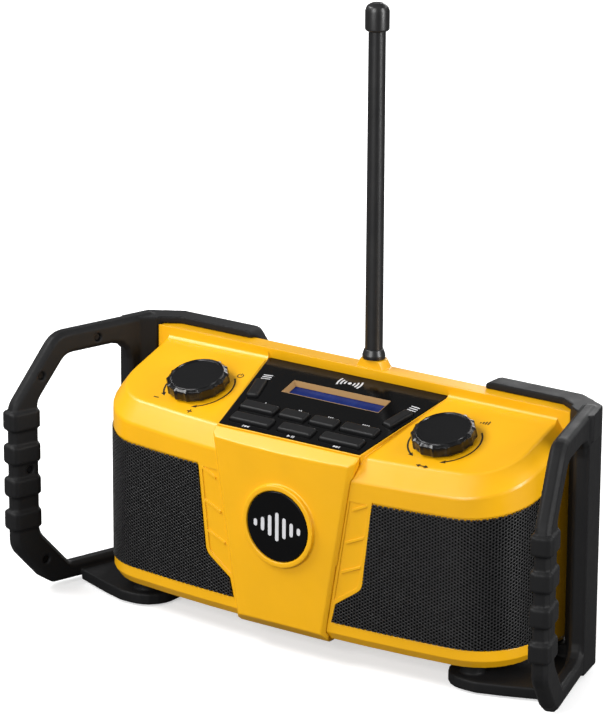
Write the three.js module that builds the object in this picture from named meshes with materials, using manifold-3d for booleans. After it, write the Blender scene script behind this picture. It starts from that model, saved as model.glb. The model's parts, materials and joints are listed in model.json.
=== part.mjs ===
// A portable job-site radio: a yellow two-part housing with wrap-round speaker grilles,
// a tilted control panel, two knobs, a flexible whip antenna, a battery door at the back
// and a black protective loop handle on each side.
// Units are millimetres. +X is the radio's right as you face it, the front faces -Y, +Z is up.
// The origin lies on the floor, below the middle of the whole object.

import * as THREE from "three";
import { mergeVertices } from "three/addons/utils/BufferGeometryUtils.js";
import Module from "manifold-3d";

const wasm = await Module();
wasm.setup();

// ---------------------------------------------------------------- driving dimensions

const CENTRE_SHIFT_Y = -0.48; // brings the middle of front grips and rear brackets onto y = 0
const FEET_BELOW_LOOPS = 3; // heights are measured from the loops' lowest edge
const GAP = 0.3; // clearance between neighbouring pieces

// Body in plan: a bowed front, round front corners, straight sides, a flat back.
const BODY_HALF_WIDTH = 150;
const BODY_FRONT_Y = -39.1;
const BODY_REAR_Y = 54;
const BODY_BOTTOM_Z = 12.8;
const BOW_RADIUS = 1010;
const CORNER_RADIUS = 38;
const REAR_CORNER_RADIUS = 10;
const WALL = 3;
const SPLIT_Y = 41; // the front and rear housings meet here

// Body from the side: the top slopes down to the front, and a low ridge runs along the back.
const TOP_ANGLE = THREE.MathUtils.degToRad(17.3);
const TOP_SLOPE = Math.tan(TOP_ANGLE);
const TOP_Z = 138; // height of the sloping top at y = 0
const EDGE_DROP = 10.5;
const EDGE_INSET = 8.2;
const BOTTOM_CHAMFER_RISE = 5.2;
const BOTTOM_CHAMFER_INSET = 3.6;
const RIDGE_Z = 157;

// Speaker grilles.
const GRILLE_BOTTOM_Z = 24.6;
const GRILLE_TOP_Z = 104.2; // at the front of the body
const GRILLE_TOP_SLOPE = 0.19; // the top edge rises towards the back
const GRILLE_REAR_Y = 24;
const GRILLE_PROUD = 0.6;
const GRILLE_DEPTH = 1.1;
const SPEAKER_X = 88;
const SPEAKER_Z = 64;
const SPEAKER_RADIUS = 33;
const SPEAKER_PLANE_Y = -26.7;

// Control panel: a trapezoid whose front edge is lifted above the sloping top.
const PANEL_FRONT_Y = -32.2;
const PANEL_FRONT_Z = 131;
const PANEL_REAR_Z = 150.8;
const PANEL_REAR_Y = 40.4;
const PANEL_ANGLE = Math.atan2(PANEL_REAR_Z - PANEL_FRONT_Z, PANEL_REAR_Y - PANEL_FRONT_Y);
const PANEL_LENGTH = Math.hypot(PANEL_REAR_Z - PANEL_FRONT_Z, PANEL_REAR_Y - PANEL_FRONT_Y);
const PANEL_FRONT_HALF = 50.8;
const PANEL_REAR_HALF = 65.5;
const PANEL_THICKNESS = 2.6;
const KEY_HEIGHT = 2.2;
const KEY_DEPTH = 8.4;
const KEY_TRAVEL = 0.8;
const LCD = { half: 35.5, front: 43.6, rear: 58.2, depth: 3.6 };

// Centre panel: a raised yellow band that wraps from the control panel down the front.
const BAND_PROUD = 2.6;
const BAND_FACE_Y = BODY_FRONT_Y - BAND_PROUD;
const BAND_SHOULDER_Z = 124;
const BAND_BASE_Y = -37.7;
const BAND_HALF = 51; // at the shoulder, where the sides meet the body
const BAND_TAPER = 0.16; // how much narrower each side grows per millimetre down
const BAND_DRAFT = 4.4; // the sides lean in by this much between the base and the face
const BAND_BOTTOM_Z = 10.4;
const BADGE_RADIUS = 22;
const BADGE_Z = 78.7;

// Knobs.
const KNOB_X = 89.2;
const KNOB_RADIUS = 18.3;
const KNOB_LOBES = 14;
const KNOB_BOTTOM = 1;
const KNOB_TOP = 9.2;
const SHAFT_TOP = 6.8;
const SHAFT_RADIUS = 3;
const ROTOR_RADIUS = 4.4;

// Antenna.
const ANTENNA_X = 7.3;
const ANTENNA_Y = 46.5;
const ANTENNA_PIVOT_Z = 174;
const ANTENNA_TOP_Z = 381;
const ANTENNA_RADIUS = 5.45;

// Handles: a closed loop that stands beside the body and splays out towards the front.
const LOOP_ANGLE = THREE.MathUtils.degToRad(17);
const GRIP_X = 189.1;
const GRIP_Y = -49.4;
const LOOP_HALF_THICKNESS = 5;
const LOOP_ROUNDING = 2.5;
const RING_PITCH = 21.5;
const RING_HEIGHT = 12.2;
const RING_TOP_Z = 111.1;
const RING_HALF = { along: 11, across: 7 };
const GRIP_CENTRE_U = 0.3;
const BRACKET_REAR_Y = 61.5;
const LOOP_TOP_Z = 162.6;
const BRACKET_TOP_Z = 161.5;
const FOOT_TOP_Z = 5.2;
const FOOT_BOTTOM_Z = -1.7;
const FOOT_PAD_TOP_Z = -2; // the pads are glued under the plates

// Back of the radio.
const BAY = { half: 53, bottom: 39, top: 97, depth: 29 };
const DOOR = { half: 58, bottom: 34, top: 102, thickness: 2.4 };
const DOOR_TOP_GAP = 0.8; // room for the top edge to swing out
const DOOR_AXIS_Y = 57;
const LATCH = { half: 11.5, tongue: 8, notch: 3.4 };
const PORT = { x: 104, z: 44, halfX: 17, halfZ: 11 };

// ---------------------------------------------------------------- materials

const plastic = (color, roughness) =>
  new THREE.MeshStandardMaterial({ color, roughness, metalness: 0 });
const YELLOW = plastic(0xf3b524, 0.45);
const BLACK_RUBBER = plastic(0x232323, 0.8);
const BLACK_PLASTIC = plastic(0x1c1c1e, 0.5);
const BLACK_GLOSS = plastic(0x101012, 0.2);
const KNOB_BLACK = plastic(0x161618, 0.35);
const BOARD_GREEN = plastic(0x1f5a35, 0.5);
const LCD_BLUE = plastic(0x2d378c, 0.15);
const LCD_TAN = plastic(0xa87c45, 0.5);
const CONE_GREY = plastic(0x2e2e31, 0.9);
const GRILLE_STEEL = new THREE.MeshStandardMaterial({
  color: 0x1b1b1d,
  roughness: 0.55,
  metalness: 0.6,
});
const STEEL = new THREE.MeshStandardMaterial({
  color: 0x9a9a9c,
  roughness: 0.35,
  metalness: 0.9,
});

// ---------------------------------------------------------------- solids

// A closed geometry as a solid that can be joined and cut.
function solid(geometry) {
  const bare = geometry.clone();
  bare.deleteAttribute("normal");
  bare.deleteAttribute("uv");
  const merged = mergeVertices(bare, 1e-4);
  return new wasm.Manifold(
    new wasm.Mesh({
      numProp: 3,
      vertProperties: new Float32Array(merged.attributes.position.array),
      triVerts: new Uint32Array(merged.index.array),
    }),
  );
}

// A solid as a named mesh.
function piece(name, body, material) {
  const made = body.getMesh();
  const geometry = new THREE.BufferGeometry();
  geometry.setAttribute("position", new THREE.BufferAttribute(made.vertProperties, 3));
  geometry.setIndex(new THREE.BufferAttribute(made.triVerts, 1));
  geometry.computeVertexNormals();
  const mesh = new THREE.Mesh(geometry, material);
  mesh.name = name;
  return mesh;
}

const joined = (first, ...others) => others.reduce((sum, next) => sum.add(next), first);
const cut = (first, ...others) => others.reduce((rest, next) => rest.subtract(next), first);

const toShape = (points) => new THREE.Shape(points.map(([x, y]) => new THREE.Vector2(x, y)));

function extruded(points, depth, options = {}) {
  const shape = points instanceof THREE.Shape ? points : toShape(points);
  return new THREE.ExtrudeGeometry(shape, { depth, bevelEnabled: false, ...options });
}

// Prisms along each axis. The outline of prismX is in (y, z) and that of prismY in (x, z).
const prismZ = (points, z0, z1) => solid(extruded(points, z1 - z0).translate(0, 0, z0));

const ALONG_X = new THREE.Matrix4().makeBasis(
  new THREE.Vector3(0, 1, 0),
  new THREE.Vector3(0, 0, 1),
  new THREE.Vector3(1, 0, 0),
);
const prismX = (points, x0, x1) =>
  solid(extruded(points, x1 - x0).applyMatrix4(ALONG_X).translate(x0, 0, 0));

const ALONG_Y = new THREE.Matrix4().makeBasis(
  new THREE.Vector3(1, 0, 0),
  new THREE.Vector3(0, 0, 1),
  new THREE.Vector3(0, -1, 0),
);
const prismY = (points, y0, y1) =>
  solid(extruded(points, y1 - y0).applyMatrix4(ALONG_Y).translate(0, y1, 0));

function box(x0, x1, y0, y1, z0, z1) {
  const geometry = new THREE.BoxGeometry(x1 - x0, y1 - y0, z1 - z0);
  return solid(geometry.translate((x0 + x1) / 2, (y0 + y1) / 2, (z0 + z1) / 2));
}

// A body of revolution about the local z axis from a profile of [radius, z] points.
function turned(profile, segments = 24) {
  const points = profile.map(([r, z]) => new THREE.Vector2(r, z));
  return new THREE.LatheGeometry(points, segments).rotateX(Math.PI / 2);
}

const pin = (radius, z0, z1, segments = 24) =>
  turned([[0, z0], [radius, z0], [radius, z1], [0, z1]], segments);

const tube = (outer, inner, z0, z1, segments = 24) =>
  turned([[inner, z0], [outer, z0], [outer, z1], [inner, z1], [inner, z0]], segments);

// Turns a body of revolution about z so that its axis runs along +Y from the given point.
const faceBack = (geometry, x, y, z) => geometry.rotateX(-Math.PI / 2).translate(x, y, z);

const rectangle = (x0, x1, y0, y1) => [[x0, y0], [x1, y0], [x1, y1], [x0, y1]];

// A closed outline with every corner rounded by its own radius: points are [x, y, radius].
function roundedOutline(corners, steps = 4) {
  const outline = [];
  corners.forEach(([x, y, radius], i) => {
    const [px, py] = corners[(i + corners.length - 1) % corners.length];
    const [nx, ny] = corners[(i + 1) % corners.length];
    const here = new THREE.Vector2(x, y);
    const back = new THREE.Vector2(px - x, py - y).normalize();
    const ahead = new THREE.Vector2(nx - x, ny - y).normalize();
    const half = Math.acos(THREE.MathUtils.clamp(back.dot(ahead), -1, 1)) / 2;
    if (!radius) {
      outline.push([x, y]);
      return;
    }
    const reach = radius / Math.tan(half);
    const middle = back.clone().add(ahead).normalize();
    const centre = here.clone().addScaledVector(middle, radius / Math.sin(half));
    const from = here.clone().addScaledVector(back, reach).sub(centre);
    const to = here.clone().addScaledVector(ahead, reach).sub(centre);
    const start = Math.atan2(from.y, from.x);
    let sweep = Math.atan2(to.y, to.x) - start;
    sweep = Math.atan2(Math.sin(sweep), Math.cos(sweep));
    for (let k = 0; k <= steps; k += 1) {
      const angle = start + (sweep * k) / steps;
      outline.push([centre.x + radius * Math.cos(angle), centre.y + radius * Math.sin(angle)]);
    }
  });
  return outline;
}

const roundedBox = (halfX, halfY, radius, steps = 3) =>
  roundedOutline(
    [
      [-halfX, -halfY, radius],
      [halfX, -halfY, radius],
      [halfX, halfY, radius],
      [-halfX, halfY, radius],
    ],
    steps,
  );

const shifted = (points, dx, dy) => points.map(([x, y]) => [x + dx, y + dy]);

// A solid through a stack of rings that have the same number of points, closed by flat caps.
function loft(rings) {
  const count = rings[0].length;
  const position = rings.flat(2);
  const index = [];
  for (let level = 0; level + 1 < rings.length; level += 1) {
    for (let i = 0; i < count; i += 1) {
      const a = level * count + i;
      const b = level * count + ((i + 1) % count);
      index.push(a, b, b + count, a, b + count, a + count);
    }
  }
  const cap = (ring) =>
    THREE.ShapeUtils.triangulateShape(ring.map(([x, y]) => new THREE.Vector2(x, y)), []);
  cap(rings[0]).forEach(([a, b, c]) => index.push(c, b, a));
  const top = (rings.length - 1) * count;
  cap(rings[rings.length - 1]).forEach(([a, b, c]) => index.push(top + a, top + b, top + c));
  const geometry = new THREE.BufferGeometry();
  geometry.setAttribute("position", new THREE.Float32BufferAttribute(position, 3));
  geometry.setIndex(index);
  return solid(geometry);
}

// ---------------------------------------------------------------- local frames

// The control panel's frame: x across, y up the slope from the front edge, z out of the face.
const PANEL_FRAME = new THREE.Matrix4()
  .makeRotationX(PANEL_ANGLE)
  .setPosition(0, PANEL_FRONT_Y, PANEL_FRONT_Z);
const onPanel = (body) => solid(geometryOf(body).applyMatrix4(PANEL_FRAME));

// A knob's frame: its centre on the sloping top, z out of the surface.
const knobFrame = (side) =>
  new THREE.Matrix4().makeRotationX(TOP_ANGLE).setPosition(side * KNOB_X, 0, TOP_Z);

// A handle's frame: x is u, from the grip towards the back; y is height; z points outwards.
function loopFrame() {
  const back = new THREE.Vector3(-Math.sin(LOOP_ANGLE), Math.cos(LOOP_ANGLE), 0);
  const up = new THREE.Vector3(0, 0, 1);
  const out = new THREE.Vector3(Math.cos(LOOP_ANGLE), Math.sin(LOOP_ANGLE), 0);
  return new THREE.Matrix4().makeBasis(back, up, out).setPosition(GRIP_X, GRIP_Y, 0);
}

function geometryOf(body) {
  const made = body.getMesh();
  const geometry = new THREE.BufferGeometry();
  geometry.setAttribute("position", new THREE.BufferAttribute(made.vertProperties, 3));
  geometry.setIndex(new THREE.BufferAttribute(made.triVerts, 1));
  return geometry;
}

const placed = (body, matrix) => solid(geometryOf(body).applyMatrix4(matrix));

// The same piece on the other side of the radio.
function mirrored(body) {
  const geometry = geometryOf(body).scale(-1, 1, 1);
  const index = geometry.index.array;
  for (let i = 0; i < index.length; i += 3) {
    [index[i + 1], index[i + 2]] = [index[i + 2], index[i + 1]];
  }
  return solid(geometry);
}
const onSide = (body, side) => (side > 0 ? body : mirrored(body));

// ---------------------------------------------------------------- the body's outer form

const topHeight = (y) => TOP_Z + TOP_SLOPE * y;

// The body's outline in plan, moved inwards by inset.
function planOutline(inset) {
  const bowCentreY = BODY_FRONT_Y + BOW_RADIUS;
  const cornerX = BODY_HALF_WIDTH - CORNER_RADIUS;
  const reach = BOW_RADIUS - CORNER_RADIUS;
  const cornerY = bowCentreY - Math.sqrt(reach ** 2 - cornerX ** 2);
  const tangent = Math.asin(cornerX / reach);
  const rearRadius = Math.max(REAR_CORNER_RADIUS - inset, 1);
  const rearX = BODY_HALF_WIDTH - inset - rearRadius;
  const rearY = BODY_REAR_Y - inset - rearRadius;
  const arc = (cx, cy, radius, from, to, steps) =>
    Array.from({ length: steps + 1 }, (_, k) => {
      const angle = from + ((to - from) * k) / steps;
      return [cx + radius * Math.sin(angle), cy - radius * Math.cos(angle)];
    });
  const right = [
    ...arc(0, bowCentreY, BOW_RADIUS - inset, 0, tangent, 4).slice(0, -1),
    ...arc(cornerX, cornerY, CORNER_RADIUS - inset, tangent, Math.PI / 2, 8),
    ...arc(rearX, rearY, rearRadius, Math.PI / 2, Math.PI, 3),
  ];
  const left = right
    .slice(1)
    .reverse()
    .map(([x, y]) => [-x, y]);
  return [...right, ...left];
}

const planPrism = (inset, z0, z1) => prismZ(planOutline(inset), z0, z1);

// The body below its sloping top, with the chamfer round the top edge, moved inwards by inset.
function bodyBlock(inset) {
  const ring = (plan, height) => plan.map(([x, y]) => [x, y, height(y)]);
  const wall = planOutline(inset);
  const down = inset / Math.cos(TOP_ANGLE);
  return loft([
    ring(planOutline(inset + BOTTOM_CHAMFER_INSET), () => BODY_BOTTOM_Z + inset),
    ring(wall, () => BODY_BOTTOM_Z + inset + BOTTOM_CHAMFER_RISE),
    ring(wall, (y) => topHeight(y) - EDGE_DROP - down / 2),
    ring(planOutline(inset + EDGE_INSET), (y) => topHeight(y) - down),
  ]);
}

// ---------------------------------------------------------------- grille windows

// The space that a right-hand grille fills, seen from the front, shrunk by margin.
function grilleWindow(margin) {
  const top = (y) => GRILLE_TOP_Z + GRILLE_TOP_SLOPE * (y - BODY_FRONT_Y) - margin;
  const bottom = GRILLE_BOTTOM_Z + margin;
  const front = -60;
  const rear = GRILLE_REAR_Y - margin;
  const side = prismX(
    [[front, bottom], [rear, bottom], [rear, top(rear)], [front, top(front)]],
    30,
    170,
  );
  const edge = roundedOutline(
    [
      [35.7 + margin, bottom, 0],
      [170, bottom, 0],
      [170, 130, 0],
      [65.9 + margin, 130, 0],
      [56.5 + margin, 49.3, 8],
      [38.6 + margin, 36.7, 0],
    ],
    4,
  );
  return side.intersect(prismY(edge, front, rear));
}

// ---------------------------------------------------------------- front housing

// The trapezoid of the control panel, grown outwards by grow.
function panelOutline(grow) {
  const spread = (PANEL_REAR_HALF - PANEL_FRONT_HALF) / PANEL_LENGTH;
  const front = PANEL_FRONT_HALF + grow - spread * grow;
  const rear = PANEL_REAR_HALF + grow + spread * grow;
  return [
    [-front, -grow],
    [front, -grow],
    [rear, PANEL_LENGTH + grow],
    [-rear, PANEL_LENGTH + grow],
  ];
}

// The lip at the back of the front housing, which curves up to the ridge.
function ridgeLip() {
  const start = 35.5;
  const profile = [];
  for (let k = 0; k <= 5; k += 1) {
    const t = k / 5;
    const y = start + (SPLIT_Y - 0.3 - start) * (1 - (1 - t) ** 2.2);
    profile.push([y, topHeight(start) + (RIDGE_Z - topHeight(start)) * t ** 1.6]);
  }
  profile.push([SPLIT_Y, RIDGE_Z], [SPLIT_Y, 137], [39.6, 137], [start, topHeight(start) - 2]);
  const fillet = prismX(profile, -160, 160).intersect(planPrism(EDGE_INSET, 100, 170));
  const strip = box(-160, 160, 39.6, SPLIT_Y, 137, RIDGE_Z).intersect(planPrism(0, 100, 170));
  return fillet.add(strip);
}

// The shallow field between the centre panel and the right-hand grille.
function ribField() {
  const outline = roundedOutline([[47.9, 103, 0], [60.2, 103, 1.5], [54.1, 50.6, 6], [37.6, 39, 0]], 3);
  return prismY(outline, -60, -20).subtract(planPrism(0.6, 20, 110));
}

// Low slanted ribs across the fields, three on each side.
function slantRibs(side) {
  const ribs = [
    [49.6, 96.8, 60.1, 101.6],
    [45.6, 75.8, 58, 81.2],
    [42.4, 56.6, 55.8, 62.4],
  ].map(([innerX, innerZ, outerX, outerZ]) => {
    const outline = [[innerX, innerZ], [outerX, outerZ], [outerX, outerZ + 1.7], [innerX, innerZ + 1.7]];
    return prismY(outline, -42, -35).intersect(planPrism(-0.2, 20, 110));
  });
  return onSide(joined(...ribs), side);
}

function keyWindows() {
  const keys = [[-48.7, 3.4], [48.7, 3.4], [51.5, 28], [-51.5, 28]];
  const lcd = rectangle(-LCD.half - 1, LCD.half + 1, LCD.front - 1, LCD.rear + 1);
  const depth = [-14, 1];
  const windows = [prismZ(keys, ...depth), prismZ(lcd, ...depth)];
  for (const side of [-1, 1]) {
    windows.push(sideKeyFrame(prismZ(roundedBox(5.4, 11, 1), ...depth), side));
  }
  return onPanel(joined(...windows));
}

// The long keys beside the display lean with the panel's edges.
const SIDE_KEY = { x: 51.3, y: 41, lean: THREE.MathUtils.degToRad(15) };
const sideKeyFrame = (body, side) =>
  placed(
    body,
    new THREE.Matrix4()
      .makeRotationZ(-side * SIDE_KEY.lean)
      .setPosition(side * SIDE_KEY.x, SIDE_KEY.y, 0),
  );

function speakerBoss(side) {
  const ring = faceBack(pin(SPEAKER_RADIUS + 1, 0, 11, 28), SPEAKER_X, -38, SPEAKER_Z);
  return onSide(solid(ring), side);
}

function speakerHole(side) {
  const hole = faceBack(pin(27, 0, 40, 28), SPEAKER_X, -60, SPEAKER_Z);
  return onSide(solid(hole), side);
}

function frontHousing() {
  const plateau = onPanel(prismZ(panelOutline(1.3), -7, -0.2));
  const pad = onPanel(prismZ(panelOutline(1), -5.6, -1));
  const pocket = onPanel(prismZ(panelOutline(GAP), -PANEL_THICKNESS - GAP, 10));
  const behindSplit = box(-200, 200, SPLIT_Y, 100, 0, 200);
  const cavity = bodyBlock(WALL);
  let shell = joined(bodyBlock(0), ridgeLip(), plateau).subtract(cavity);
  shell = joined(shell, pad);
  for (const side of [-1, 1]) {
    shell = shell.subtract(onSide(ribField(), side)).add(slantRibs(side));
    const window = onSide(grilleWindow(0).subtract(planPrism(GRILLE_DEPTH + GAP, 0, 150)), side);
    const boss = speakerBoss(side).intersect(planPrism(1, 20, 120));
    shell = shell.add(boss).subtract(window).subtract(speakerHole(side));
    const shaftHole = placed(solid(pin(ROTOR_RADIUS + GAP, -12, 12, 20)), knobFrame(side));
    shell = shell.subtract(shaftHole);
  }
  return cut(shell, pocket, keyWindows(), behindSplit);
}

// ---------------------------------------------------------------- rear housing

function batteryTub(grow) {
  const front = BODY_REAR_Y - BAY.depth - grow;
  return box(
    -BAY.half - grow,
    BAY.half + grow,
    front,
    BODY_REAR_Y + (grow ? -0.5 : 1),
    BAY.bottom - grow,
    BAY.top + grow,
  );
}

// One pair of hinge eyes: a tab on the back of the body and an eye round the door's pin.
function hingeEyes(xs, reachZ) {
  const eye = (x0, x1) => {
    const block = prismX(
      [[BODY_REAR_Y - 1, reachZ - 2.4], [DOOR_AXIS_Y, reachZ - 2.4],
        [DOOR_AXIS_Y, reachZ + 2.4], [BODY_REAR_Y - 1, reachZ + 2.4]],
      x0,
      x1,
    );
    const round = turned([[0, 0], [2.4, 0], [2.4, x1 - x0], [0, x1 - x0]], 16);
    round.rotateY(Math.PI / 2).translate(x0, DOOR_AXIS_Y, reachZ);
    return block.add(solid(round));
  };
  return joined(...xs.map(([x0, x1]) => eye(x0, x1)));
}

const HINGE_Z = DOOR.bottom - 3;
const hingeBore = () => {
  const bore = pin(1.3, -70, 70, 12).rotateY(Math.PI / 2);
  return solid(bore.translate(0, DOOR_AXIS_Y, HINGE_Z));
};

function antennaBoss() {
  const boss = solid(
    turned([[0, 150], [10.5, 150], [10.5, RIDGE_Z], [8.2, 162], [0, 162]]).translate(
      ANTENNA_X,
      ANTENNA_Y,
      0,
    ),
  );
  const keep = box(-30, 50, SPLIT_Y + GAP + 0.2, BODY_REAR_Y, 140, 170);
  return boss.intersect(keep);
}

function rearHousing() {
  const aheadOfSplit = box(-200, 200, -100, SPLIT_Y + GAP, 0, 200);
  const ridge = loft([
    planOutline(0).map(([x, y]) => [x, y, 120]),
    planOutline(0).map(([x, y]) => [x, y, RIDGE_Z - 1.2]),
    planOutline(1.2).map(([x, y]) => [x, y, RIDGE_Z]),
  ]).subtract(box(-200, 200, -100, SPLIT_Y - 2, 0, 200));
  const inside = joined(bodyBlock(WALL), planPrism(WALL, 120, RIDGE_Z - WALL));
  let shell = bodyBlock(0).add(ridge).subtract(inside);
  const doorway = ([y0, y1], grow) =>
    box(-DOOR.half - grow, DOOR.half + grow, y0, y1, DOOR.bottom - grow, DOOR.top + grow);
  const ledge = doorway([BODY_REAR_Y - 5, BODY_REAR_Y - 1], 2);
  const notch = box(-9, 9, BODY_REAR_Y - 1.4, 60, DOOR.top - 1, DOOR.top + LATCH.notch);
  shell = joined(shell, ledge, batteryTub(2));
  shell = cut(shell, batteryTub(0), doorway([BODY_REAR_Y - 2.7, 60], 0), notch);
  shell = joined(
    shell.subtract(aheadOfSplit),
    batteryTub(2).subtract(batteryTub(0)).intersect(box(-60, 60, 0, BODY_REAR_Y - 2.8, 0, 120)),
    hingeEyes([[-50, -40], [40, 50]], HINGE_Z),
    antennaBoss(),
  );
  const port = prismY(
    shifted(roundedBox(PORT.halfX - 4, PORT.halfZ - 4, 1), PORT.x, PORT.z),
    40,
    60,
  );
  const portRecess = prismY(
    shifted(roundedBox(PORT.halfX, PORT.halfZ, 2), PORT.x, PORT.z),
    BODY_REAR_Y - 1.4,
    60,
  );
  const antennaBore = solid(pin(3.3, 140, 165).translate(ANTENNA_X, ANTENNA_Y, 0));
  return cut(shell, port, portRecess, antennaBore, hingeBore());
}

// A rubber cord that lines the rear housing where it meets the front one.
function housingSeal() {
  const cord = bodyBlock(WALL + 0.4).subtract(bodyBlock(WALL + 2.4));
  return cord.intersect(box(-200, 200, SPLIT_Y + 0.6, SPLIT_Y + 3.6, 0, 200));
}

// ---------------------------------------------------------------- centre panel and badge

function centrePanel() {
  const rear = PANEL_FRONT_Y - 0.6;
  const side = [
    [rear, PANEL_FRONT_Z - 0.2],
    [BAND_FACE_Y, BAND_SHOULDER_Z],
    [BAND_FACE_Y, 16.6],
    [-35.4, BAND_BOTTOM_Z],
    [-30, BAND_BOTTOM_Z],
    [-30, BODY_BOTTOM_Z + 3],
    [-34, 60],
    [-34, 118],
    [rear, 120],
  ];
  const half = (z) => BAND_HALF - BAND_TAPER * (BAND_SHOULDER_Z - z);
  const ring = (inset, y) => [
    [-half(0) + inset, 0, -y],
    [half(0) - inset, 0, -y],
    [half(140) - inset, 140, -y],
    [inset - half(140), 140, -y],
  ];
  const front = placed(
    loft([ring(0, -28), ring(0, BAND_BASE_Y), ring(BAND_DRAFT, BAND_FACE_Y - 0.01)]),
    ALONG_Y,
  );
  const plateau = onPanel(prismZ(panelOutline(1.3 + GAP), -9, 5));
  const badgeRing = faceBack(pin(25.6, 0, 4, 36), 0, BAND_FACE_Y - 2.4, BADGE_Z);
  const seat = faceBack(pin(BADGE_RADIUS + GAP, 0, 3, 36), 0, BAND_FACE_Y - 3.4, BADGE_Z);
  return cut(
    prismX(side, -60, 60)
      .intersect(front)
      .intersect(planPrism(-BAND_PROUD, 0, 160))
      .add(solid(badgeRing)),
    bodyBlock(-GAP),
    plateau,
    solid(seat),
  );
}

function badge() {
  const edge = BADGE_RADIUS;
  const disc = turned([[0, 0], [edge - 0.6, 0], [edge, 0.6], [edge, 1.5], [0, 1.5]], 36);
  return solid(faceBack(disc, 0, BAND_FACE_Y - 2.2, BADGE_Z));
}

// ---------------------------------------------------------------- control panel

const KEY_ROWS = [
  { y: 9, widths: [29, 24, 29], gap: 6, names: ["previous_key", "play_key", "next_key"] },
  {
    y: 22.4,
    widths: [25, 18.5, 18.5, 25],
    gap: 3.6,
    names: ["preset_1_key", "preset_2_key", "preset_3_key", "preset_4_key"],
  },
];

// Every key of a row with its centre and width, from left to right.
function keysOf({ y, widths, gap, names }) {
  const total = widths.reduce((sum, w) => sum + w, 0) + gap * (widths.length - 1);
  let left = -total / 2;
  return widths.map((width, i) => {
    const key = { name: names[i], x: left + width / 2, y, width };
    left += width + gap;
    return key;
  });
}

const FRONT_KEYS = KEY_ROWS.flatMap(keysOf);
const SIDE_KEYS = [
  { name: "mode_key", side: -1 },
  { name: "menu_key", side: 1 },
];
const SIDE_KEY_HALF = { x: 3.8, y: 9.5 };

function controlFascia() {
  const [a, b, c, d] = panelOutline(0);
  const outline = roundedOutline([[...a, 1], [...b, 1], [...c, 1.5], [...d, 1.5]], 3);
  const plate = prismZ(outline, -PANEL_THICKNESS, 0);
  const holes = FRONT_KEYS.map(({ x, y, width }) =>
    prismZ(shifted(roundedBox(width / 2 + GAP, KEY_DEPTH / 2 + GAP, 1.2), x, y), -9, 9),
  );
  for (const { side } of SIDE_KEYS) {
    const hole = roundedBox(SIDE_KEY_HALF.x + GAP, SIDE_KEY_HALF.y + GAP, 1.2);
    holes.push(sideKeyFrame(prismZ(hole, -9, 9), side));
  }
  const lcd = prismZ(rectangle(-LCD.half, LCD.half, LCD.front, LCD.rear), -9, 9);
  return onPanel(cut(plate, lcd, ...holes));
}

// A key: a cap with a bevelled top, a flange that keeps it in, and a stem to its switch.
function key(halfX, halfY) {
  const bevel = 0.9;
  const cap = extruded(roundedBox(halfX - bevel, halfY - bevel, 0.6, 2), KEY_HEIGHT + 3.5, {
    bevelEnabled: true,
    bevelSize: bevel,
    bevelThickness: bevel,
    bevelSegments: 1,
  }).translate(0, 0, -4.4);
  const whole = solid(cap).subtract(box(-60, 60, -60, 60, -20, -3.4));
  const flange = prismZ(roundedBox(halfX + 1, halfY + 1, 0.8, 2), -4.1, -2.9);
  return joined(whole, flange, solid(pin(1.6, -6.2, -3, 8)));
}

const frontKey = ({ x, y, width }) =>
  onPanel(placed(key(width / 2, KEY_DEPTH / 2), new THREE.Matrix4().setPosition(x, y, 0)));

const sideKey = (side) => onPanel(sideKeyFrame(key(SIDE_KEY_HALF.x, SIDE_KEY_HALF.y), side));

// The frame that lines the display's opening, and the display glass under it.
function lcdFrame() {
  const ring = (halfX, front, rear, z0, z1) => prismZ(rectangle(-halfX, halfX, front, rear), z0, z1);
  const outer = ring(LCD.half - GAP, LCD.front + GAP, LCD.rear - GAP, -LCD.depth, -0.4);
  const inner = ring(LCD.half - 1.5, LCD.front + 1.5, LCD.rear - 1.5, -10, 3);
  return onPanel(outer.subtract(inner));
}

const lcdScreen = () =>
  onPanel(
    prismZ(
      rectangle(-LCD.half + GAP, LCD.half - GAP, LCD.front + GAP, LCD.rear - GAP),
      -LCD.depth - 2.2,
      -LCD.depth - 0.2,
    ),
  );

const lcdBoard = () =>
  onPanel(prismZ(rectangle(-40, 40, LCD.front - 4, LCD.rear + 3), -8.2, -6.6));

// The board under the keys, with an arm on each side of the display for the long keys.
function keypadBoard() {
  const outline = [
    [-46, 4],
    [46, 4],
    [58, 52],
    [44, 52],
    [42, 31],
    [-42, 31],
    [-44, 52],
    [-58, 52],
  ];
  return onPanel(prismZ(outline, -8.9, -7.3));
}

// ---------------------------------------------------------------- speakers and boards

function grille(side) {
  const sheet = grilleWindow(GAP)
    .intersect(planPrism(-GRILLE_PROUD, 0, 150))
    .subtract(planPrism(GRILLE_DEPTH, 0, 150));
  return onSide(sheet, side);
}

// The speaker's steel basket with its magnet, open to the front.
function speakerBasket(side) {
  const profile = [
    [0, 33],
    [22, 33],
    [22, 19],
    [14, 19],
    [24, 2],
    [SPEAKER_RADIUS, 2],
    [SPEAKER_RADIUS, 0],
    [27.6, 0],
    [11, 17],
    [0, 17],
  ].reverse();
  return onSide(solid(faceBack(turned(profile, 24), SPEAKER_X, SPEAKER_PLANE_Y, SPEAKER_Z)), side);
}

// The paper cone with its dust cap and rolled surround.
function speakerCone(side) {
  const profile = [
    [0, 8.4],
    [4, 9],
    [7.5, 10.6],
    [21, 0.6],
    [24.4, -0.8],
    [26.4, 0.3],
    [24.6, 1],
    [9.6, 15.6],
    [0, 15.6],
  ];
  return onSide(solid(faceBack(turned(profile, 24), SPEAKER_X, SPEAKER_PLANE_Y, SPEAKER_Z)), side);
}

const mainBoard = () => box(-58, 58, 17, 18.6, 34, 118);

// ---------------------------------------------------------------- knobs

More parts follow.
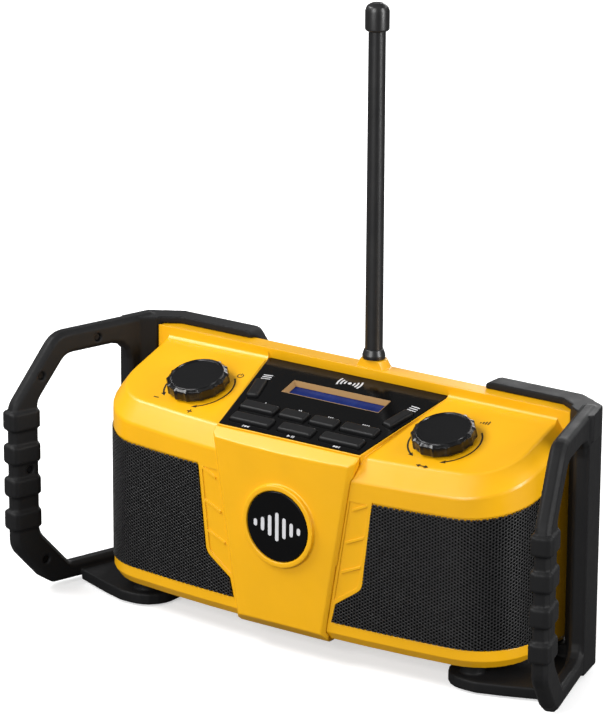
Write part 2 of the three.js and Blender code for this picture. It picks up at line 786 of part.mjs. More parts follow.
function knob(side) {
  const count = KNOB_LOBES * 4;
  const rim = Array.from({ length: count }, (_, i) => {
    const angle = (i / count) * 2 * Math.PI;
    const wave = Math.max(0, Math.cos(angle * KNOB_LOBES)) ** 1.5;
    const radius = KNOB_RADIUS - 1 - wave;
    return [radius * Math.cos(angle), radius * Math.sin(angle)];
  });
  const body = extruded(rim, KNOB_TOP - KNOB_BOTTOM - 2.4, {
    bevelEnabled: true,
    bevelSize: 1,
    bevelThickness: 1.2,
    bevelSegments: 1,
  }).translate(0, 0, KNOB_BOTTOM + 1.2);
  const dish = solid(pin(14.8, KNOB_TOP - 0.6, KNOB_TOP + 2, 32));
  const relief = solid(pin(6.4, KNOB_BOTTOM - 1, KNOB_BOTTOM + 2.6, 20));
  const bore = solid(pin(SHAFT_RADIUS + GAP, KNOB_BOTTOM, SHAFT_TOP + GAP, 16));
  return placed(cut(solid(body), dish, relief, bore), knobFrame(side));
}

const knobShaft = (side) => placed(solid(pin(SHAFT_RADIUS, -12, SHAFT_TOP, 16)), knobFrame(side));

const knobRotor = (side) =>
  placed(solid(tube(ROTOR_RADIUS, SHAFT_RADIUS + GAP, -10, 1.2, 20)), knobFrame(side));

function encoder(side) {
  const body = prismZ(roundedBox(7, 6.5, 1), -10.5, -3.4);
  return placed(body.subtract(solid(pin(ROTOR_RADIUS + GAP, -20, 0, 20))), knobFrame(side));
}

// ---------------------------------------------------------------- antenna

const atAntenna = (geometry) => solid(geometry.translate(ANTENNA_X, ANTENNA_Y, 0));

// The ferrule with the stud that screws into the boss.
const antennaBase = () =>
  atAntenna(
    turned([[0, 150], [3, 150], [3, 162.3], [7, 162.3], [7.1, 164.5], [5.9, 168.3], [0, 168.3]]),
  );

// The flexible rod, with a round lower end that turns on the ferrule.
function antennaRod() {
  const profile = [[0, ANTENNA_PIVOT_Z - ANTENNA_RADIUS]];
  for (let k = 1; k <= 4; k += 1) {
    const angle = (k / 4) * (Math.PI / 2);
    profile.push([
      ANTENNA_RADIUS * Math.sin(angle),
      ANTENNA_PIVOT_Z - ANTENNA_RADIUS * Math.cos(angle),
    ]);
  }
  profile.push([5.2, ANTENNA_TOP_Z - 17.4], [0, ANTENNA_TOP_Z - 17.4]);
  return atAntenna(turned(profile, 24));
}

const antennaCap = () => {
  const low = ANTENNA_TOP_Z - 17;
  return atAntenna(
    turned(
      [[0, low], [6.6, low], [7.35, low + 1], [7.35, ANTENNA_TOP_Z - 5], [6.3, ANTENNA_TOP_Z - 2],
        [3.6, ANTENNA_TOP_Z - 0.4], [0, ANTENNA_TOP_Z]],
      24,
    ),
  );
};

// ---------------------------------------------------------------- handles

// The loop's outline in (u, z): a shape with the hand opening as its hole.
function loopShape() {
  const outer = roundedOutline(
    [
      [11, 6, 6],
      [20, 0, 5],
      [102, 0, 4.5],
      [102, LOOP_TOP_Z, 4.5],
      [24.5, LOOP_TOP_Z, 16],
      [-8.6, 120.5, 14],
      [-8.6, 28, 14],
    ],
    3,
  );
  const opening = roundedOutline(
    [
      [10.6, 121.5, 10],
      [32, 147.9, 10],
      [79, 147.9, 12],
      [79, 11, 9],
      [33, 11, 5],
      [10.6, 36, 10],
    ],
    3,
  );
  const shape = toShape(outer);
  shape.holes.push(new THREE.Path(opening.map(([x, y]) => new THREE.Vector2(x, y))));
  return shape;
}

function gripRings() {
  const ring = (z) => {
    const bevel = 1.1;
    const { along, across } = RING_HALF;
    const outline = roundedBox(along - bevel, across - bevel, 3, 2);
    const geometry = extruded(outline, RING_HEIGHT - 2 * bevel, {
      bevelEnabled: true,
      bevelSize: bevel,
      bevelThickness: bevel,
      bevelSegments: 1,
    });
    // Lay the ring's axis along the handle frame's height.
    return solid(geometry.rotateX(-Math.PI / 2).translate(GRIP_CENTRE_U, z - RING_HEIGHT / 2 + bevel, 0));
  };
  return [0, 1, 2, 3].map((i) => ring(RING_TOP_Z - i * RING_PITCH));
}

// The bracket that holds the top of the loop to the back of the body, seen from above.
function topBracket() {
  const outline = [
    [86, 48.6],
    [139, 48.6],
    [152.5, 40],
    [164, 28],
    [172, 30],
    [166, 50],
    [146, BRACKET_REAR_Y],
    [80, BRACKET_REAR_Y],
  ];
  const fromFront = roundedOutline(
    [
      [80, 145, 0],
      [200, 145, 0],
      [200, BRACKET_TOP_Z, 0],
      [87, BRACKET_TOP_Z, 5],
      [80, 152, 3],
    ],
    3,
  );
  const arm = prismZ(outline, 140, 170).intersect(prismY(fromFront, 20, 70));
  return arm.subtract(planPrism(-GAP, 0, RIDGE_Z + GAP));
}

// The post that squares the loop's rear corner from the foot up to the bracket.
function rearPost() {
  const outline = [
    [165, 28],
    [171.2, 27.5],
    [166, 50],
    [158, 54.5],
    [150.7, 51],
    [150.7, 38.5],
  ];
  return prismZ(outline, 0, BRACKET_TOP_Z);
}

// The plate under the body, with two pillars and a heel block up to its underside.
function footPlate() {
  const outline = roundedOutline(
    [
      [173, -12, 0],
      [147, -22, 20],
      [130, -27.5, 6],
      [103, -27.5, 19],
      [103, 44, 19],
      [158, 46, 6],
    ],
    5,
  );
  const plate = prismZ(outline, FOOT_BOTTOM_Z, FOOT_TOP_Z);
  const pillar = (x, y) => solid(pin(7, 2, BODY_BOTTOM_Z - GAP, 20).translate(x, y, 0));
  const heel = prismZ(
    [
      [142, 36],
      [160, 36],
      [160, 50],
      [142, 50],
    ],
    0,
    BODY_BOTTOM_Z - GAP,
  );
  return joined(plate, pillar(120, -14), pillar(120, 24), heel);
}

// Where the handle's screws sit, in (u, z).
const HANDLE_SCREWS = [
  [55, 154.6],
  [12.5, 137.5],
  [3, 78.8],
  [14, 17.4],
];
const HANDLE_HALF_GAP = 0.15;

function wholeHandle() {
  const rounding = LOOP_ROUNDING;
  const loop = extruded(loopShape(), 2 * (LOOP_HALF_THICKNESS - rounding), {
    bevelEnabled: true,
    bevelSize: rounding,
    bevelOffset: -rounding,
    bevelThickness: rounding,
    bevelSegments: 1,
  }).translate(0, 0, -LOOP_HALF_THICKNESS + rounding);
  const bars = placed(joined(solid(loop), ...gripRings()), loopFrame());
  return joined(bars, topBracket(), rearPost(), footPlate());
}

// The handle is two halves that meet in the loop's middle plane.
function handleHalf(part) {
  const far = 300;
  const keep = part === "outer" ? [HANDLE_HALF_GAP, far] : [-far, -HANDLE_HALF_GAP];
  const slab = placed(box(-far, far, -far, far, ...keep), loopFrame());
  let half = wholeHandle().intersect(slab);
  if (part === "inner") {
    for (const [u, z] of HANDLE_SCREWS) {
      const hole = pin(2.6, -20, -1.4, 16).translate(u, z, 0);
      half = half.subtract(placed(solid(hole), loopFrame()));
    }
  }
  return half;
}

function handleScrew([u, z]) {
  const head = pin(2.3, -3.4, -1.7, 12).translate(u, z, 0);
  return placed(solid(head), loopFrame());
}

const footPad = () =>
  prismZ(
    roundedOutline([[150, -18, 8], [108, -18, 10], [108, 36, 10], [150, 36, 8]], 3),
    -FEET_BELOW_LOOPS,
    FOOT_PAD_TOP_Z,
  );

// ---------------------------------------------------------------- back of the radio

function batteryDoor() {
  const { half, bottom, top, thickness } = DOOR;
  const rear = BODY_REAR_Y;
  const plate = prismY(
    rectangle(-half + GAP, half - GAP, bottom + GAP, top - DOOR_TOP_GAP),
    rear - thickness,
    rear,
  );
  const strap = box(-38, 38, rear + 0.4, DOOR_AXIS_Y, HINGE_Z, bottom + 3);
  const root = box(-38, 38, rear - 0.6, DOOR_AXIS_Y, bottom + 0.6, bottom + 3);
  const barrel = turned([[0, 0], [2.4, 0], [2.4, 76], [0, 76]], 16).rotateY(Math.PI / 2);
  const eye = solid(barrel.translate(-38, DOOR_AXIS_Y, HINGE_Z));
  const latchSeat = box(-12, 12, rear - 1.1, rear + 5, top - 18, top + 2);
  return cut(joined(plate, strap, root, eye), hingeBore(), latchSeat);
}

const doorPin = () => {
  const rod = pin(1, -50, 50, 12).rotateY(Math.PI / 2);
  return solid(rod.translate(0, DOOR_AXIS_Y, HINGE_Z));
};

// A slide with three grip ridges, whose tongue reaches into a notch above the door.
function doorLatch() {
  const rear = BODY_REAR_Y;
  const { top } = DOOR;
  const { half, tongue, notch } = LATCH;
  const slide = box(-half, half, rear - 0.8, rear + 1, top - 14.5, top - 1);
  const tip = box(-tongue, tongue, rear - 0.8, rear + 0.6, top - 2, top + notch - 1);
  const ridges = [0, 1, 2].map((i) =>
    box(-8, 8, rear + 0.6, rear + 2.2, top - 12 + 4 * i, top - 10.4 + 4 * i),
  );
  return joined(slide, tip, ...ridges);
}

function batteryPack() {
  const radius = 12.6;
  const y = BODY_REAR_Y - BAY.depth + radius + 1;
  const rows = [BAY.bottom + radius + 1.6, BAY.top - radius - 1.6];
  const cells = rows.map((z) => {
    const cell = pin(radius, -51, 51, 24).rotateY(Math.PI / 2);
    return solid(cell.translate(0, y, z));
  });
  const sleeve = box(-44, 44, y - 3, y + 3, rows[0], rows[1]);
  return joined(...cells, sleeve);
}

function portCover() {
  const { x, z, halfX, halfZ } = PORT;
  const lid = prismY(shifted(roundedBox(halfX - GAP, halfZ - GAP, 1.8), x, z), 52.9, 54.6);
  const plug = prismY(shifted(roundedBox(halfX - 4.6, halfZ - 4.6, 0.8), x, z), 51.2, 53.2);
  const tab = box(x - 5, x + 5, 54, 56, z + halfZ - 3.2, z + halfZ - 0.8);
  return joined(lid, plug, tab);
}

function socketBlock() {
  const { x, z } = PORT;
  const block = box(x - 14, x + 14, 38, 50.6, z - 9, z + 9);
  const jack = (dx, radius) => solid(faceBack(pin(radius, 0, 20, 16), x + dx, 42, z));
  return cut(block, jack(-5.5, 3.2), jack(5.5, 2));
}

// ---------------------------------------------------------------- assembly

const radio = new THREE.Group();
const add = (name, body, material) => radio.add(piece(name, body, material));

add("front_housing", frontHousing(), YELLOW);
add("rear_housing", rearHousing(), YELLOW);
add("housing_seal", housingSeal(), BLACK_RUBBER);
add("centre_panel", centrePanel(), YELLOW);
add("badge", badge(), BLACK_GLOSS);
add("control_fascia", controlFascia(), BLACK_GLOSS);
add("lcd_frame", lcdFrame(), LCD_TAN);
add("lcd_screen", lcdScreen(), LCD_BLUE);
add("lcd_board", lcdBoard(), BOARD_GREEN);
add("keypad_board", keypadBoard(), BOARD_GREEN);
add("main_board", mainBoard(), BOARD_GREEN);
FRONT_KEYS.forEach((k) => add(k.name, frontKey(k), BLACK_PLASTIC));
SIDE_KEYS.forEach((k) => add(k.name, sideKey(k.side), BLACK_PLASTIC));

for (const [word, side] of [["volume", -1], ["tuning", 1]]) {
  add(`${word}_knob`, knob(side), KNOB_BLACK);
  add(`${word}_shaft`, knobShaft(side), STEEL);
  add(`${word}_rotor`, knobRotor(side), STEEL);
  add(`${word}_encoder`, encoder(side), BLACK_PLASTIC);
}

for (const [word, side] of [["left", -1], ["right", 1]]) {
  add(`grille_${word}`, grille(side), GRILLE_STEEL);
  add(`speaker_basket_${word}`, speakerBasket(side), STEEL);
  add(`speaker_cone_${word}`, speakerCone(side), CONE_GREY);
  add(`handle_${word}_outer`, onSide(handleHalf("outer"), side), BLACK_RUBBER);
  add(`handle_${word}_inner`, onSide(handleHalf("inner"), side), BLACK_RUBBER);
  HANDLE_SCREWS.forEach((at, i) =>
    add(`handle_${word}_screw_${i + 1}`, onSide(handleScrew(at), side), STEEL),
  );
  add(`foot_pad_${word}`, onSide(footPad(), side), BLACK_RUBBER);
}

add("antenna_base", antennaBase(), BLACK_PLASTIC);
add("antenna_rod", antennaRod(), BLACK_RUBBER);
add("antenna_cap", antennaCap(), BLACK_RUBBER);
add("battery_pack", batteryPack(), BLACK_PLASTIC);
add("battery_door", batteryDoor(), YELLOW);
add("door_hinge_pin", doorPin(), STEEL);
add("door_latch", doorLatch(), BLACK_PLASTIC);
add("port_cover", portCover(), BLACK_RUBBER);
add("socket_block", socketBlock(), BLACK_PLASTIC);

radio.position.set(0, CENTRE_SHIFT_Y, FEET_BELOW_LOOPS);

export default radio;
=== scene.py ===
"""The looks of the portable radio: materials, soft edges, perforated grilles, knobs, printed marks,
lights and camera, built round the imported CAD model. Lengths are in metres unless a name says mm."""

import json
import math

import bmesh
import bpy
import numpy as np
from mathutils import Matrix, Vector


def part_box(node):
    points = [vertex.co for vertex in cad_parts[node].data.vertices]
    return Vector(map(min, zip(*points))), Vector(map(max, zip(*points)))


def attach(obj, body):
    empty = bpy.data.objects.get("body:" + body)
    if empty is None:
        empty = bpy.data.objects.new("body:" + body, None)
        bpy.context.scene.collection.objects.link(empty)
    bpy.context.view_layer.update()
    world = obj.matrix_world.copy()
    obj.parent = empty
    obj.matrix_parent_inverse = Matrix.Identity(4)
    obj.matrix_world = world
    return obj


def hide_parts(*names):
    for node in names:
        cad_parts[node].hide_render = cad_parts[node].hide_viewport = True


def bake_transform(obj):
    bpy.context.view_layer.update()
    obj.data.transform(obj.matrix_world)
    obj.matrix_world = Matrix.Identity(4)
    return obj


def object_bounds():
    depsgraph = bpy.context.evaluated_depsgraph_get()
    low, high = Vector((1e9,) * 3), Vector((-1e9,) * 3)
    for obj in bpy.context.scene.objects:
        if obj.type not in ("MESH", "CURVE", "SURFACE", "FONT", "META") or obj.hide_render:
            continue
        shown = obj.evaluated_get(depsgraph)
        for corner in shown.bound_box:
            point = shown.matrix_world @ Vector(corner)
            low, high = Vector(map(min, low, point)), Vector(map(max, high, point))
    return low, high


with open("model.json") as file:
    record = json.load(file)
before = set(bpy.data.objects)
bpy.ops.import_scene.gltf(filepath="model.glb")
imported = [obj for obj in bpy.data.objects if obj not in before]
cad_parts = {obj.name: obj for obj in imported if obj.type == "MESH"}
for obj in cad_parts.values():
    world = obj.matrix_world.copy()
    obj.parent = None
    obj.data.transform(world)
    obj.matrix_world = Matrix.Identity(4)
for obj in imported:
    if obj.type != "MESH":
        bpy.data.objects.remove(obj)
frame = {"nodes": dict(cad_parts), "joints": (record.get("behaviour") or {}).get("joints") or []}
cad_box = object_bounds()

MM = 0.001
SIDES = {"left": -1, "right": 1}
JOINTS = {joint["name"]: joint for joint in frame["joints"]}
NODES = frame["nodes"]
X_AXIS = Vector((1, 0, 0))
Z_AXIS = Vector((0, 0, 1))
WELD_DISTANCE = 0.002 * MM
SHADING_LIMIT = math.radians(38)

# -------------------------------- node materials


class Shader:
    """A material's node tree with short calls for the nodes that the materials share."""

    def __init__(self, name):
        self.material = bpy.data.materials.new(name)
        self.material.use_nodes = True
        self.tree = self.material.node_tree
        self.tree.nodes.clear()
        self.output = self.node("ShaderNodeOutputMaterial")
        self.surface = self.node("ShaderNodeBsdfPrincipled")
        self.link(self.surface, "BSDF", self.output, "Surface")
        self.place = self.node("ShaderNodeTexCoord").outputs["Object"]

    def node(self, kind, **values):
        made = self.tree.nodes.new(kind)
        for key, value in values.items():
            setattr(made, key, value)
        return made

    def link(self, start, output, end, socket):
        source = start if output is None else start.outputs[output]
        self.tree.links.new(source, end.inputs[socket])

    def texture(self, kind, scale, **values):
        """A texture or mapping node that works in the object's own coordinates."""
        made = self.node(kind, **values)
        made.inputs["Scale"].default_value = scale
        self.tree.links.new(self.place, made.inputs["Vector"])
        return made

    def noise(self, size, detail=3.0, roughness=0.6):
        """A noise value whose features are about size metres across."""
        made = self.texture("ShaderNodeTexNoise", 1 / size)
        made.inputs["Detail"].default_value = detail
        made.inputs["Roughness"].default_value = roughness
        return made.outputs["Fac"]

    def ranged(self, value, low, high, start=0.3, stop=0.7):
        made = self.node("ShaderNodeMapRange")
        made.inputs["From Min"].default_value = start
        made.inputs["From Max"].default_value = stop
        made.inputs["To Min"].default_value = low
        made.inputs["To Max"].default_value = high
        self.tree.links.new(value, made.inputs["Value"])
        return made.outputs["Result"]

    def mixed(self, factor, first, second):
        """A colour between two colours or colour sockets."""
        made = self.node("ShaderNodeMix", data_type="RGBA")
        for socket, value in ((0, factor), (6, first), (7, second)):
            if isinstance(value, bpy.types.NodeSocket):
                self.tree.links.new(value, made.inputs[socket])
            elif socket == 0:
                made.inputs[0].default_value = value
            else:
                made.inputs[socket].default_value = (*value, 1)
        return made.outputs[2]

    def bump(self, height, strength, distance, normal=None):
        made = self.node("ShaderNodeBump")
        made.inputs["Strength"].default_value = strength
        made.inputs["Distance"].default_value = distance
        self.tree.links.new(height, made.inputs["Height"])
        if normal is not None:
            self.tree.links.new(normal, made.inputs["Normal"])
        return made.outputs["Normal"]

    def math(self, operation, first, second=None):
        made = self.node("ShaderNodeMath", operation=operation)
        for socket, value in enumerate((first, second)):
            if isinstance(value, bpy.types.NodeSocket):
                self.tree.links.new(value, made.inputs[socket])
            elif value is not None:
                made.inputs[socket].default_value = value
        return made.outputs[0]

    def edges(self, radius):
        """A value that rises from 0 on flat faces to 1 on convex and concave edges."""
        rounded = self.node("ShaderNodeBevel", samples=4)
        rounded.inputs["Radius"].default_value = radius
        geometry = self.node("ShaderNodeNewGeometry")
        dot = self.node("ShaderNodeVectorMath", operation="DOT_PRODUCT")
        self.tree.links.new(rounded.outputs["Normal"], dot.inputs[0])
        self.tree.links.new(geometry.outputs["Normal"], dot.inputs[1])
        return self.ranged(dot.outputs["Value"], 1.0, 0.0, 0.8, 0.995), rounded.outputs["Normal"]

    def set(self, **values):
        for key, value in values.items():
            socket = self.surface.inputs[key.replace("_", " ")]
            if isinstance(value, bpy.types.NodeSocket):
                self.tree.links.new(value, socket)
            else:
                socket.default_value = (*value, 1) if isinstance(value, tuple) else value
        return self


def shade(color, factor):
    return tuple(channel * factor for channel in color)


def moulded(name, color, roughness, grain_mm, depth_mm, edge_wear_and_highlight, specular):
    """Injection-moulded plastic or rubber: fine grain, uneven gloss and slightly paler edges, partly rubbed
    wear and partly a painted edge highlight.
    """
    s = Shader(name)
    cloud = s.noise(40 * MM, 4)
    base = s.mixed(s.ranged(cloud, 0, 1), shade(color, 0.965), shade(color, 1.03))
    edge, rounded = s.edges(0.35 * MM)
    scuffs = s.ranged(s.noise(2.5 * MM, 6), 0.15, 1.0, 0.45, 0.6)
    # The paler colour on scuffed edges is partly wear and partly a painted highlight along the edges.
    pale_wear_and_highlight = tuple(min(1.0, channel * 1.5 + 0.03) for channel in color)
    worn_and_highlit = s.mixed(s.math("MULTIPLY", s.math("MULTIPLY", edge, scuffs), edge_wear_and_highlight), base, pale_wear_and_highlight)
    fine = s.noise(grain_mm * MM, 2, 0.5)
    smudge = s.ranged(s.noise(12 * MM, 5), roughness * 0.9, roughness * 1.12)
    s.set(
        Base_Color=worn_and_highlit,
        Roughness=smudge,
        Normal=s.bump(fine, 0.5, depth_mm * MM, rounded),
        Specular_IOR_Level=specular,
    )
    return s.material


def metal(name, color, roughness):
    """Plain steel with fine drawing marks."""
    s = Shader(name)
    stretch = s.texture("ShaderNodeMapping", (1, 1, 14))
    lines = s.node("ShaderNodeTexNoise")
    lines.inputs["Scale"].default_value = 1 / (0.6 * MM)
    s.tree.links.new(stretch.outputs["Vector"], lines.inputs["Vector"])
    spots = s.ranged(s.noise(3 * MM, 5), 0, 1)
    s.set(
        Base_Color=s.mixed(spots, shade(color, 0.85), color),
        Metallic=1.0,
        Roughness=s.ranged(lines.outputs["Fac"], roughness * 0.8, roughness * 1.25),
        Normal=s.bump(lines.outputs["Fac"], 0.3, 0.01 * MM),
    )
    return s.material


def gloss(name, color, roughness):
    """High-gloss plastic with faint smudges and a slightly wavy surface."""
    s = Shader(name)
    smudge = s.ranged(s.noise(9 * MM, 6, 0.7), roughness * 0.7, roughness * 1.8, 0.35, 0.75)
    s.set(
        Base_Color=s.mixed(s.ranged(s.noise(20 * MM), 0, 1), shade(color, 0.8), color),
        Roughness=smudge,
        Normal=s.bump(s.noise(14 * MM, 2), 0.12, 0.05 * MM),
        Specular_IOR_Level=0.15,
    )
    return s.material


def circuit_board(name):
    """Green solder mask with a square grid of copper tracks and small tinned pads."""
    s = Shader(name)
    tracks = s.texture("ShaderNodeTexBrick", 1 / (5 * MM), offset=0.37, squash=0.6)
    tracks.inputs["Mortar Size"].default_value = 0.03
    pads = s.texture("ShaderNodeTexVoronoi", 1 / (4 * MM))
    dots = s.ranged(pads.outputs["Distance"], 1, 0, 0.12, 0.16)
    mask = s.mixed(tracks.outputs["Fac"], (0.012, 0.075, 0.028), (0.03, 0.16, 0.05))
    s.set(
        Base_Color=s.mixed(dots, mask, (0.5, 0.47, 0.4)),
        Roughness=0.35,
        Metallic=s.math("MULTIPLY", dots, 0.8),
        Normal=s.bump(dots, 0.4, 0.05 * MM),
    )
    return s.material


def display_glass(name, panel_up, origin):
    """Blue display with two faint rows of character cells under clear glass."""
    s = Shader(name)
    split = s.node("ShaderNodeSeparateXYZ")
    s.tree.links.new(s.place, split.inputs["Vector"])
    along = s.node("ShaderNodeVectorMath", operation="DOT_PRODUCT")
    s.tree.links.new(s.place, along.inputs[0])
    along.inputs[1].default_value = panel_up
    height = s.math("SUBTRACT", along.outputs["Value"], origin)

    def cells(value, pitch, gap):
        phase = s.math("FRACT", s.math("DIVIDE", value, pitch))
        offset = s.math("ABSOLUTE", s.math("SUBTRACT", phase, 0.5))
        return s.math("LESS_THAN", offset, 0.5 - gap / 2)

    block = s.math("MULTIPLY", cells(split.outputs["X"], 4 * MM, 0.22), cells(height, 5.4 * MM, 0.2))
    cloudy = s.mixed(s.ranged(s.noise(16 * MM), 0, 1), (0.006, 0.014, 0.085), (0.012, 0.029, 0.15))
    s.set(
        Base_Color=s.mixed(s.math("MULTIPLY", block, 0.35), cloudy, (0.01, 0.013, 0.085)),
        Roughness=0.12,
        Specular_IOR_Level=0.06,
        Emission_Color=cloudy,
        Emission_Strength=0.2,
    )
    return s.material


def woven(name, color, pitch):
    """Plain black cloth: crossed waves for warp and weft."""
    s = Shader(name)
    waves = []
    for direction in ("Z", "DIAGONAL"):
        wave = s.texture("ShaderNodeTexWave", 0.3 / pitch, bands_direction=direction)
        waves.append(wave.outputs["Fac"])
    weave = s.math("MULTIPLY", *waves)
    s.set(
        Base_Color=s.mixed(weave, shade(color, 0.5), color),
        Roughness=0.95,
        Specular_IOR_Level=0.1,
        Normal=s.bump(weave, 0.6, 0.1 * MM),
    )
    return s.material


def paper(name, color):
    """Coated cone paper with rings of fibre."""
    s = Shader(name)
    fibre = s.noise(0.8 * MM, 6, 0.8)
    s.set(
        Base_Color=s.mixed(s.ranged(fibre, 0, 1), shade(color, 0.7), shade(color, 1.2)),
        Roughness=0.8,
        Specular_IOR_Level=0.2,
        Normal=s.bump(fibre, 0.5, 0.08 * MM),
    )
    return s.material


def printed(name, color):
    """Screen-printed ink with slightly uneven cover."""
    s = Shader(name)
    cover = s.ranged(s.noise(0.5 * MM, 4), 0, 1)
    s.set(
        Base_Color=s.mixed(cover, shade(color, 0.85), color),
        Roughness=0.55,
        Normal=s.bump(s.noise(0.2 * MM), 0.2, 0.01 * MM),
    )
    return s.material


# -------------------------------- frames of the panel and knobs

PANEL_NORMAL = Vector(JOINTS["play_key_press"]["axis"]).normalized()
PANEL_UP = Vector((0, PANEL_NORMAL.z, -PANEL_NORMAL.y))


def extreme(node, direction, pick=max):
    """The largest (or smallest) reach of a CAD node along a direction."""
    return pick(vertex.co.dot(direction) for vertex in NODES[node].data.vertices)


PANEL_ORIGIN = PANEL_NORMAL * extreme("control_fascia", PANEL_NORMAL) + PANEL_UP * extreme(
    "control_fascia", PANEL_UP, min
)


def frame_matrix(origin, x_axis, y_axis, z_axis):
    rotation = Matrix((x_axis, y_axis, z_axis)).transposed().to_4x4()
    return Matrix.Translation(origin) @ rotation


PANEL_FRAME = frame_matrix(PANEL_ORIGIN, X_AXIS, PANEL_UP, PANEL_NORMAL)


def knob_frame(word):
    joint = JOINTS[f"{word}_turn"]
    axis = Vector(joint["axis"]).normalized()
    return frame_matrix(Vector(joint["pos_m"]), X_AXIS, axis.cross(X_AXIS), axis)


# -------------------------------- mesh helpers


def placed(name, data):
    """A new object in the scene."""
    made = bpy.data.objects.new(name, data)
    bpy.context.scene.collection.objects.link(made)
    return made


def geometry_group(name):
    """An empty geometry node group that takes a mesh and gives one back."""
    group = bpy.data.node_groups.new(name, "GeometryNodeTree")
    for side in ("INPUT", "OUTPUT"):
        group.interface.new_socket("Geometry", in_out=side, socket_type="NodeSocketGeometry")
    return group


def smoothing():
    """A node group that shades a mesh smooth, apart from edges sharper than SHADING_LIMIT."""
    group = bpy.data.node_groups.get("smooth_shading")
    if group:
        return group
    group = geometry_group("smooth_shading")
    nodes = group.nodes
    chain = [
        nodes.new("NodeGroupInput"),
        nodes.new("GeometryNodeRemoveAttribute"),
        nodes.new("GeometryNodeSetShadeSmooth"),
        nodes.new("GeometryNodeSetShadeSmooth"),
        nodes.new("NodeGroupOutput"),
    ]
    chain[1].inputs["Name"].default_value = "custom_normal"
    chain[2].domain = "FACE"
    chain[3].domain = "EDGE"
    for start, end in zip(chain, chain[1:]):
        group.links.new(start.outputs[0], end.inputs[0])
    angle = nodes.new("GeometryNodeInputMeshEdgeAngle")
    small = nodes.new("FunctionNodeCompare")
    small.operation = "LESS_EQUAL"
    small.inputs[1].default_value = SHADING_LIMIT
    group.links.new(angle.outputs["Unsigned Angle"], small.inputs[0])
    group.links.new(small.outputs["Result"], chain[3].inputs["Shade Smooth"])
    return group


def soften(thing, width=0.0, segments=2, angle=35, flatten=True):
    """Rounds the edges that are sharper than angle degrees, and shades the rest smooth."""
    if flatten:
        thing.modifiers.new("join", "WELD").merge_threshold = WELD_DISTANCE
        flat = thing.modifiers.new("flat", "DECIMATE")
        flat.decimate_type = "DISSOLVE"
        flat.angle_limit = math.radians(0.6)
    if width:
        round_off = thing.modifiers.new("round", "BEVEL")
        round_off.width = width
        round_off.segments = segments
        round_off.limit_method = "ANGLE"
        round_off.angle_limit = math.radians(angle)
        round_off.use_clamp_overlap = False
        round_off.miter_outer = "MITER_ARC"
    shading = thing.modifiers.new("shading", "NODES")
    shading.node_group = smoothing()
    weighted = thing.modifiers.new("weighted", "WEIGHTED_NORMAL")
    weighted.keep_sharp = True


def rounding_rule(name, shares, limit=28):
    """A node group that weights edges for a bevel. Each share is a weight and a list of planes, as
    direction and distance in (|x|, y, z); where all of them lie behind, the weight is that share."""
    group = geometry_group(name)
    nodes = group.nodes
    links = group.links

    def compute(kind, operation, *values):
        made = nodes.new(kind)
        made.operation = operation
        for socket, value in enumerate(values):
            if isinstance(value, bpy.types.NodeSocket):
                links.new(value, made.inputs[socket])
            else:
                made.inputs[socket].default_value = value
        return made.outputs

    angle = nodes.new("GeometryNodeInputMeshEdgeAngle").outputs["Unsigned Angle"]
    weight = compute("ShaderNodeMath", "GREATER_THAN", angle, math.radians(limit))[0]
    split = nodes.new("ShaderNodeSeparateXYZ")
    links.new(nodes.new("GeometryNodeInputPosition").outputs[0], split.inputs[0])
    folded = nodes.new("ShaderNodeCombineXYZ")
    links.new(compute("ShaderNodeMath", "ABSOLUTE", split.outputs[0])[0], folded.inputs[0])
    for axis in (1, 2):
        links.new(split.outputs[axis], folded.inputs[axis])
    for share, planes in shares:
        inside = 1.0
        for direction, distance in planes:
            reach = compute("ShaderNodeVectorMath", "DOT_PRODUCT", folded.outputs[0], direction)["Value"]
            past = compute("ShaderNodeMath", "GREATER_THAN", reach, distance)[0]
            inside = compute("ShaderNodeMath", "MULTIPLY", past, inside)[0]
        change = compute("ShaderNodeMath", "MULTIPLY_ADD", inside, share - 1, 1)[0]
        weight = compute("ShaderNodeMath", "MULTIPLY", weight, change)[0]
    store = nodes.new("GeometryNodeStoreNamedAttribute")
    store.data_type = "FLOAT"
    store.domain = "EDGE"
    store.inputs["Name"].default_value = "bevel_weight_edge"
    links.new(nodes.new("NodeGroupInput").outputs[0], store.inputs["Geometry"])
    links.new(weight, store.inputs["Value"])
    links.new(store.outputs["Geometry"], nodes.new("NodeGroupOutput").inputs[0])
    return group


def rubbed_down(thing, voxel, repeats, share):
    """Adds the modifiers that remesh a body evenly, soften it, and thin the result."""
    even = thing.modifiers.new("even", "REMESH")
    even.mode = "VOXEL"
    even.voxel_size = voxel
    even.use_smooth_shade = True
    soft = thing.modifiers.new("soft", "SMOOTH")
    soft.factor = 0.5
    soft.iterations = repeats
    thing.modifiers.new("thin", "DECIMATE").ratio = share


def dress(node, material, width=0.0, segments=2, angle=35):
    """Gives a CAD node its material and soft edges."""
    thing = NODES[node]
    thing.data.materials.clear()
    thing.data.materials.append(MATERIALS[material])
    soften(thing, width, segments, angle)


def dress_weighted(node, material, width, segments, rule):
    """As dress, with the rounding's width set edge by edge by a rule."""
    dress(node, material, width, segments)
    thing = NODES[node]
    weights = thing.modifiers.new("weights", "NODES")
    weights.node_group = rule
    order = [modifier.name for modifier in thing.modifiers]
    thing.modifiers.move(order.index("weights"), order.index("round"))
    thing.modifiers["round"].limit_method = "WEIGHT"


def piece(name, vertices, faces, material, body, matrix=None):
    """A new mesh object that rides on a CAD body."""
    mesh = bpy.data.meshes.new(name)
    mesh.from_pydata([tuple(v) for v in vertices], [], [tuple(f) for f in faces])
    if matrix is not None:
        mesh.transform(matrix)
    mesh.update()
    mesh.materials.append(MATERIALS[material])
    made = placed(name, mesh)
    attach(made, body)
    return made


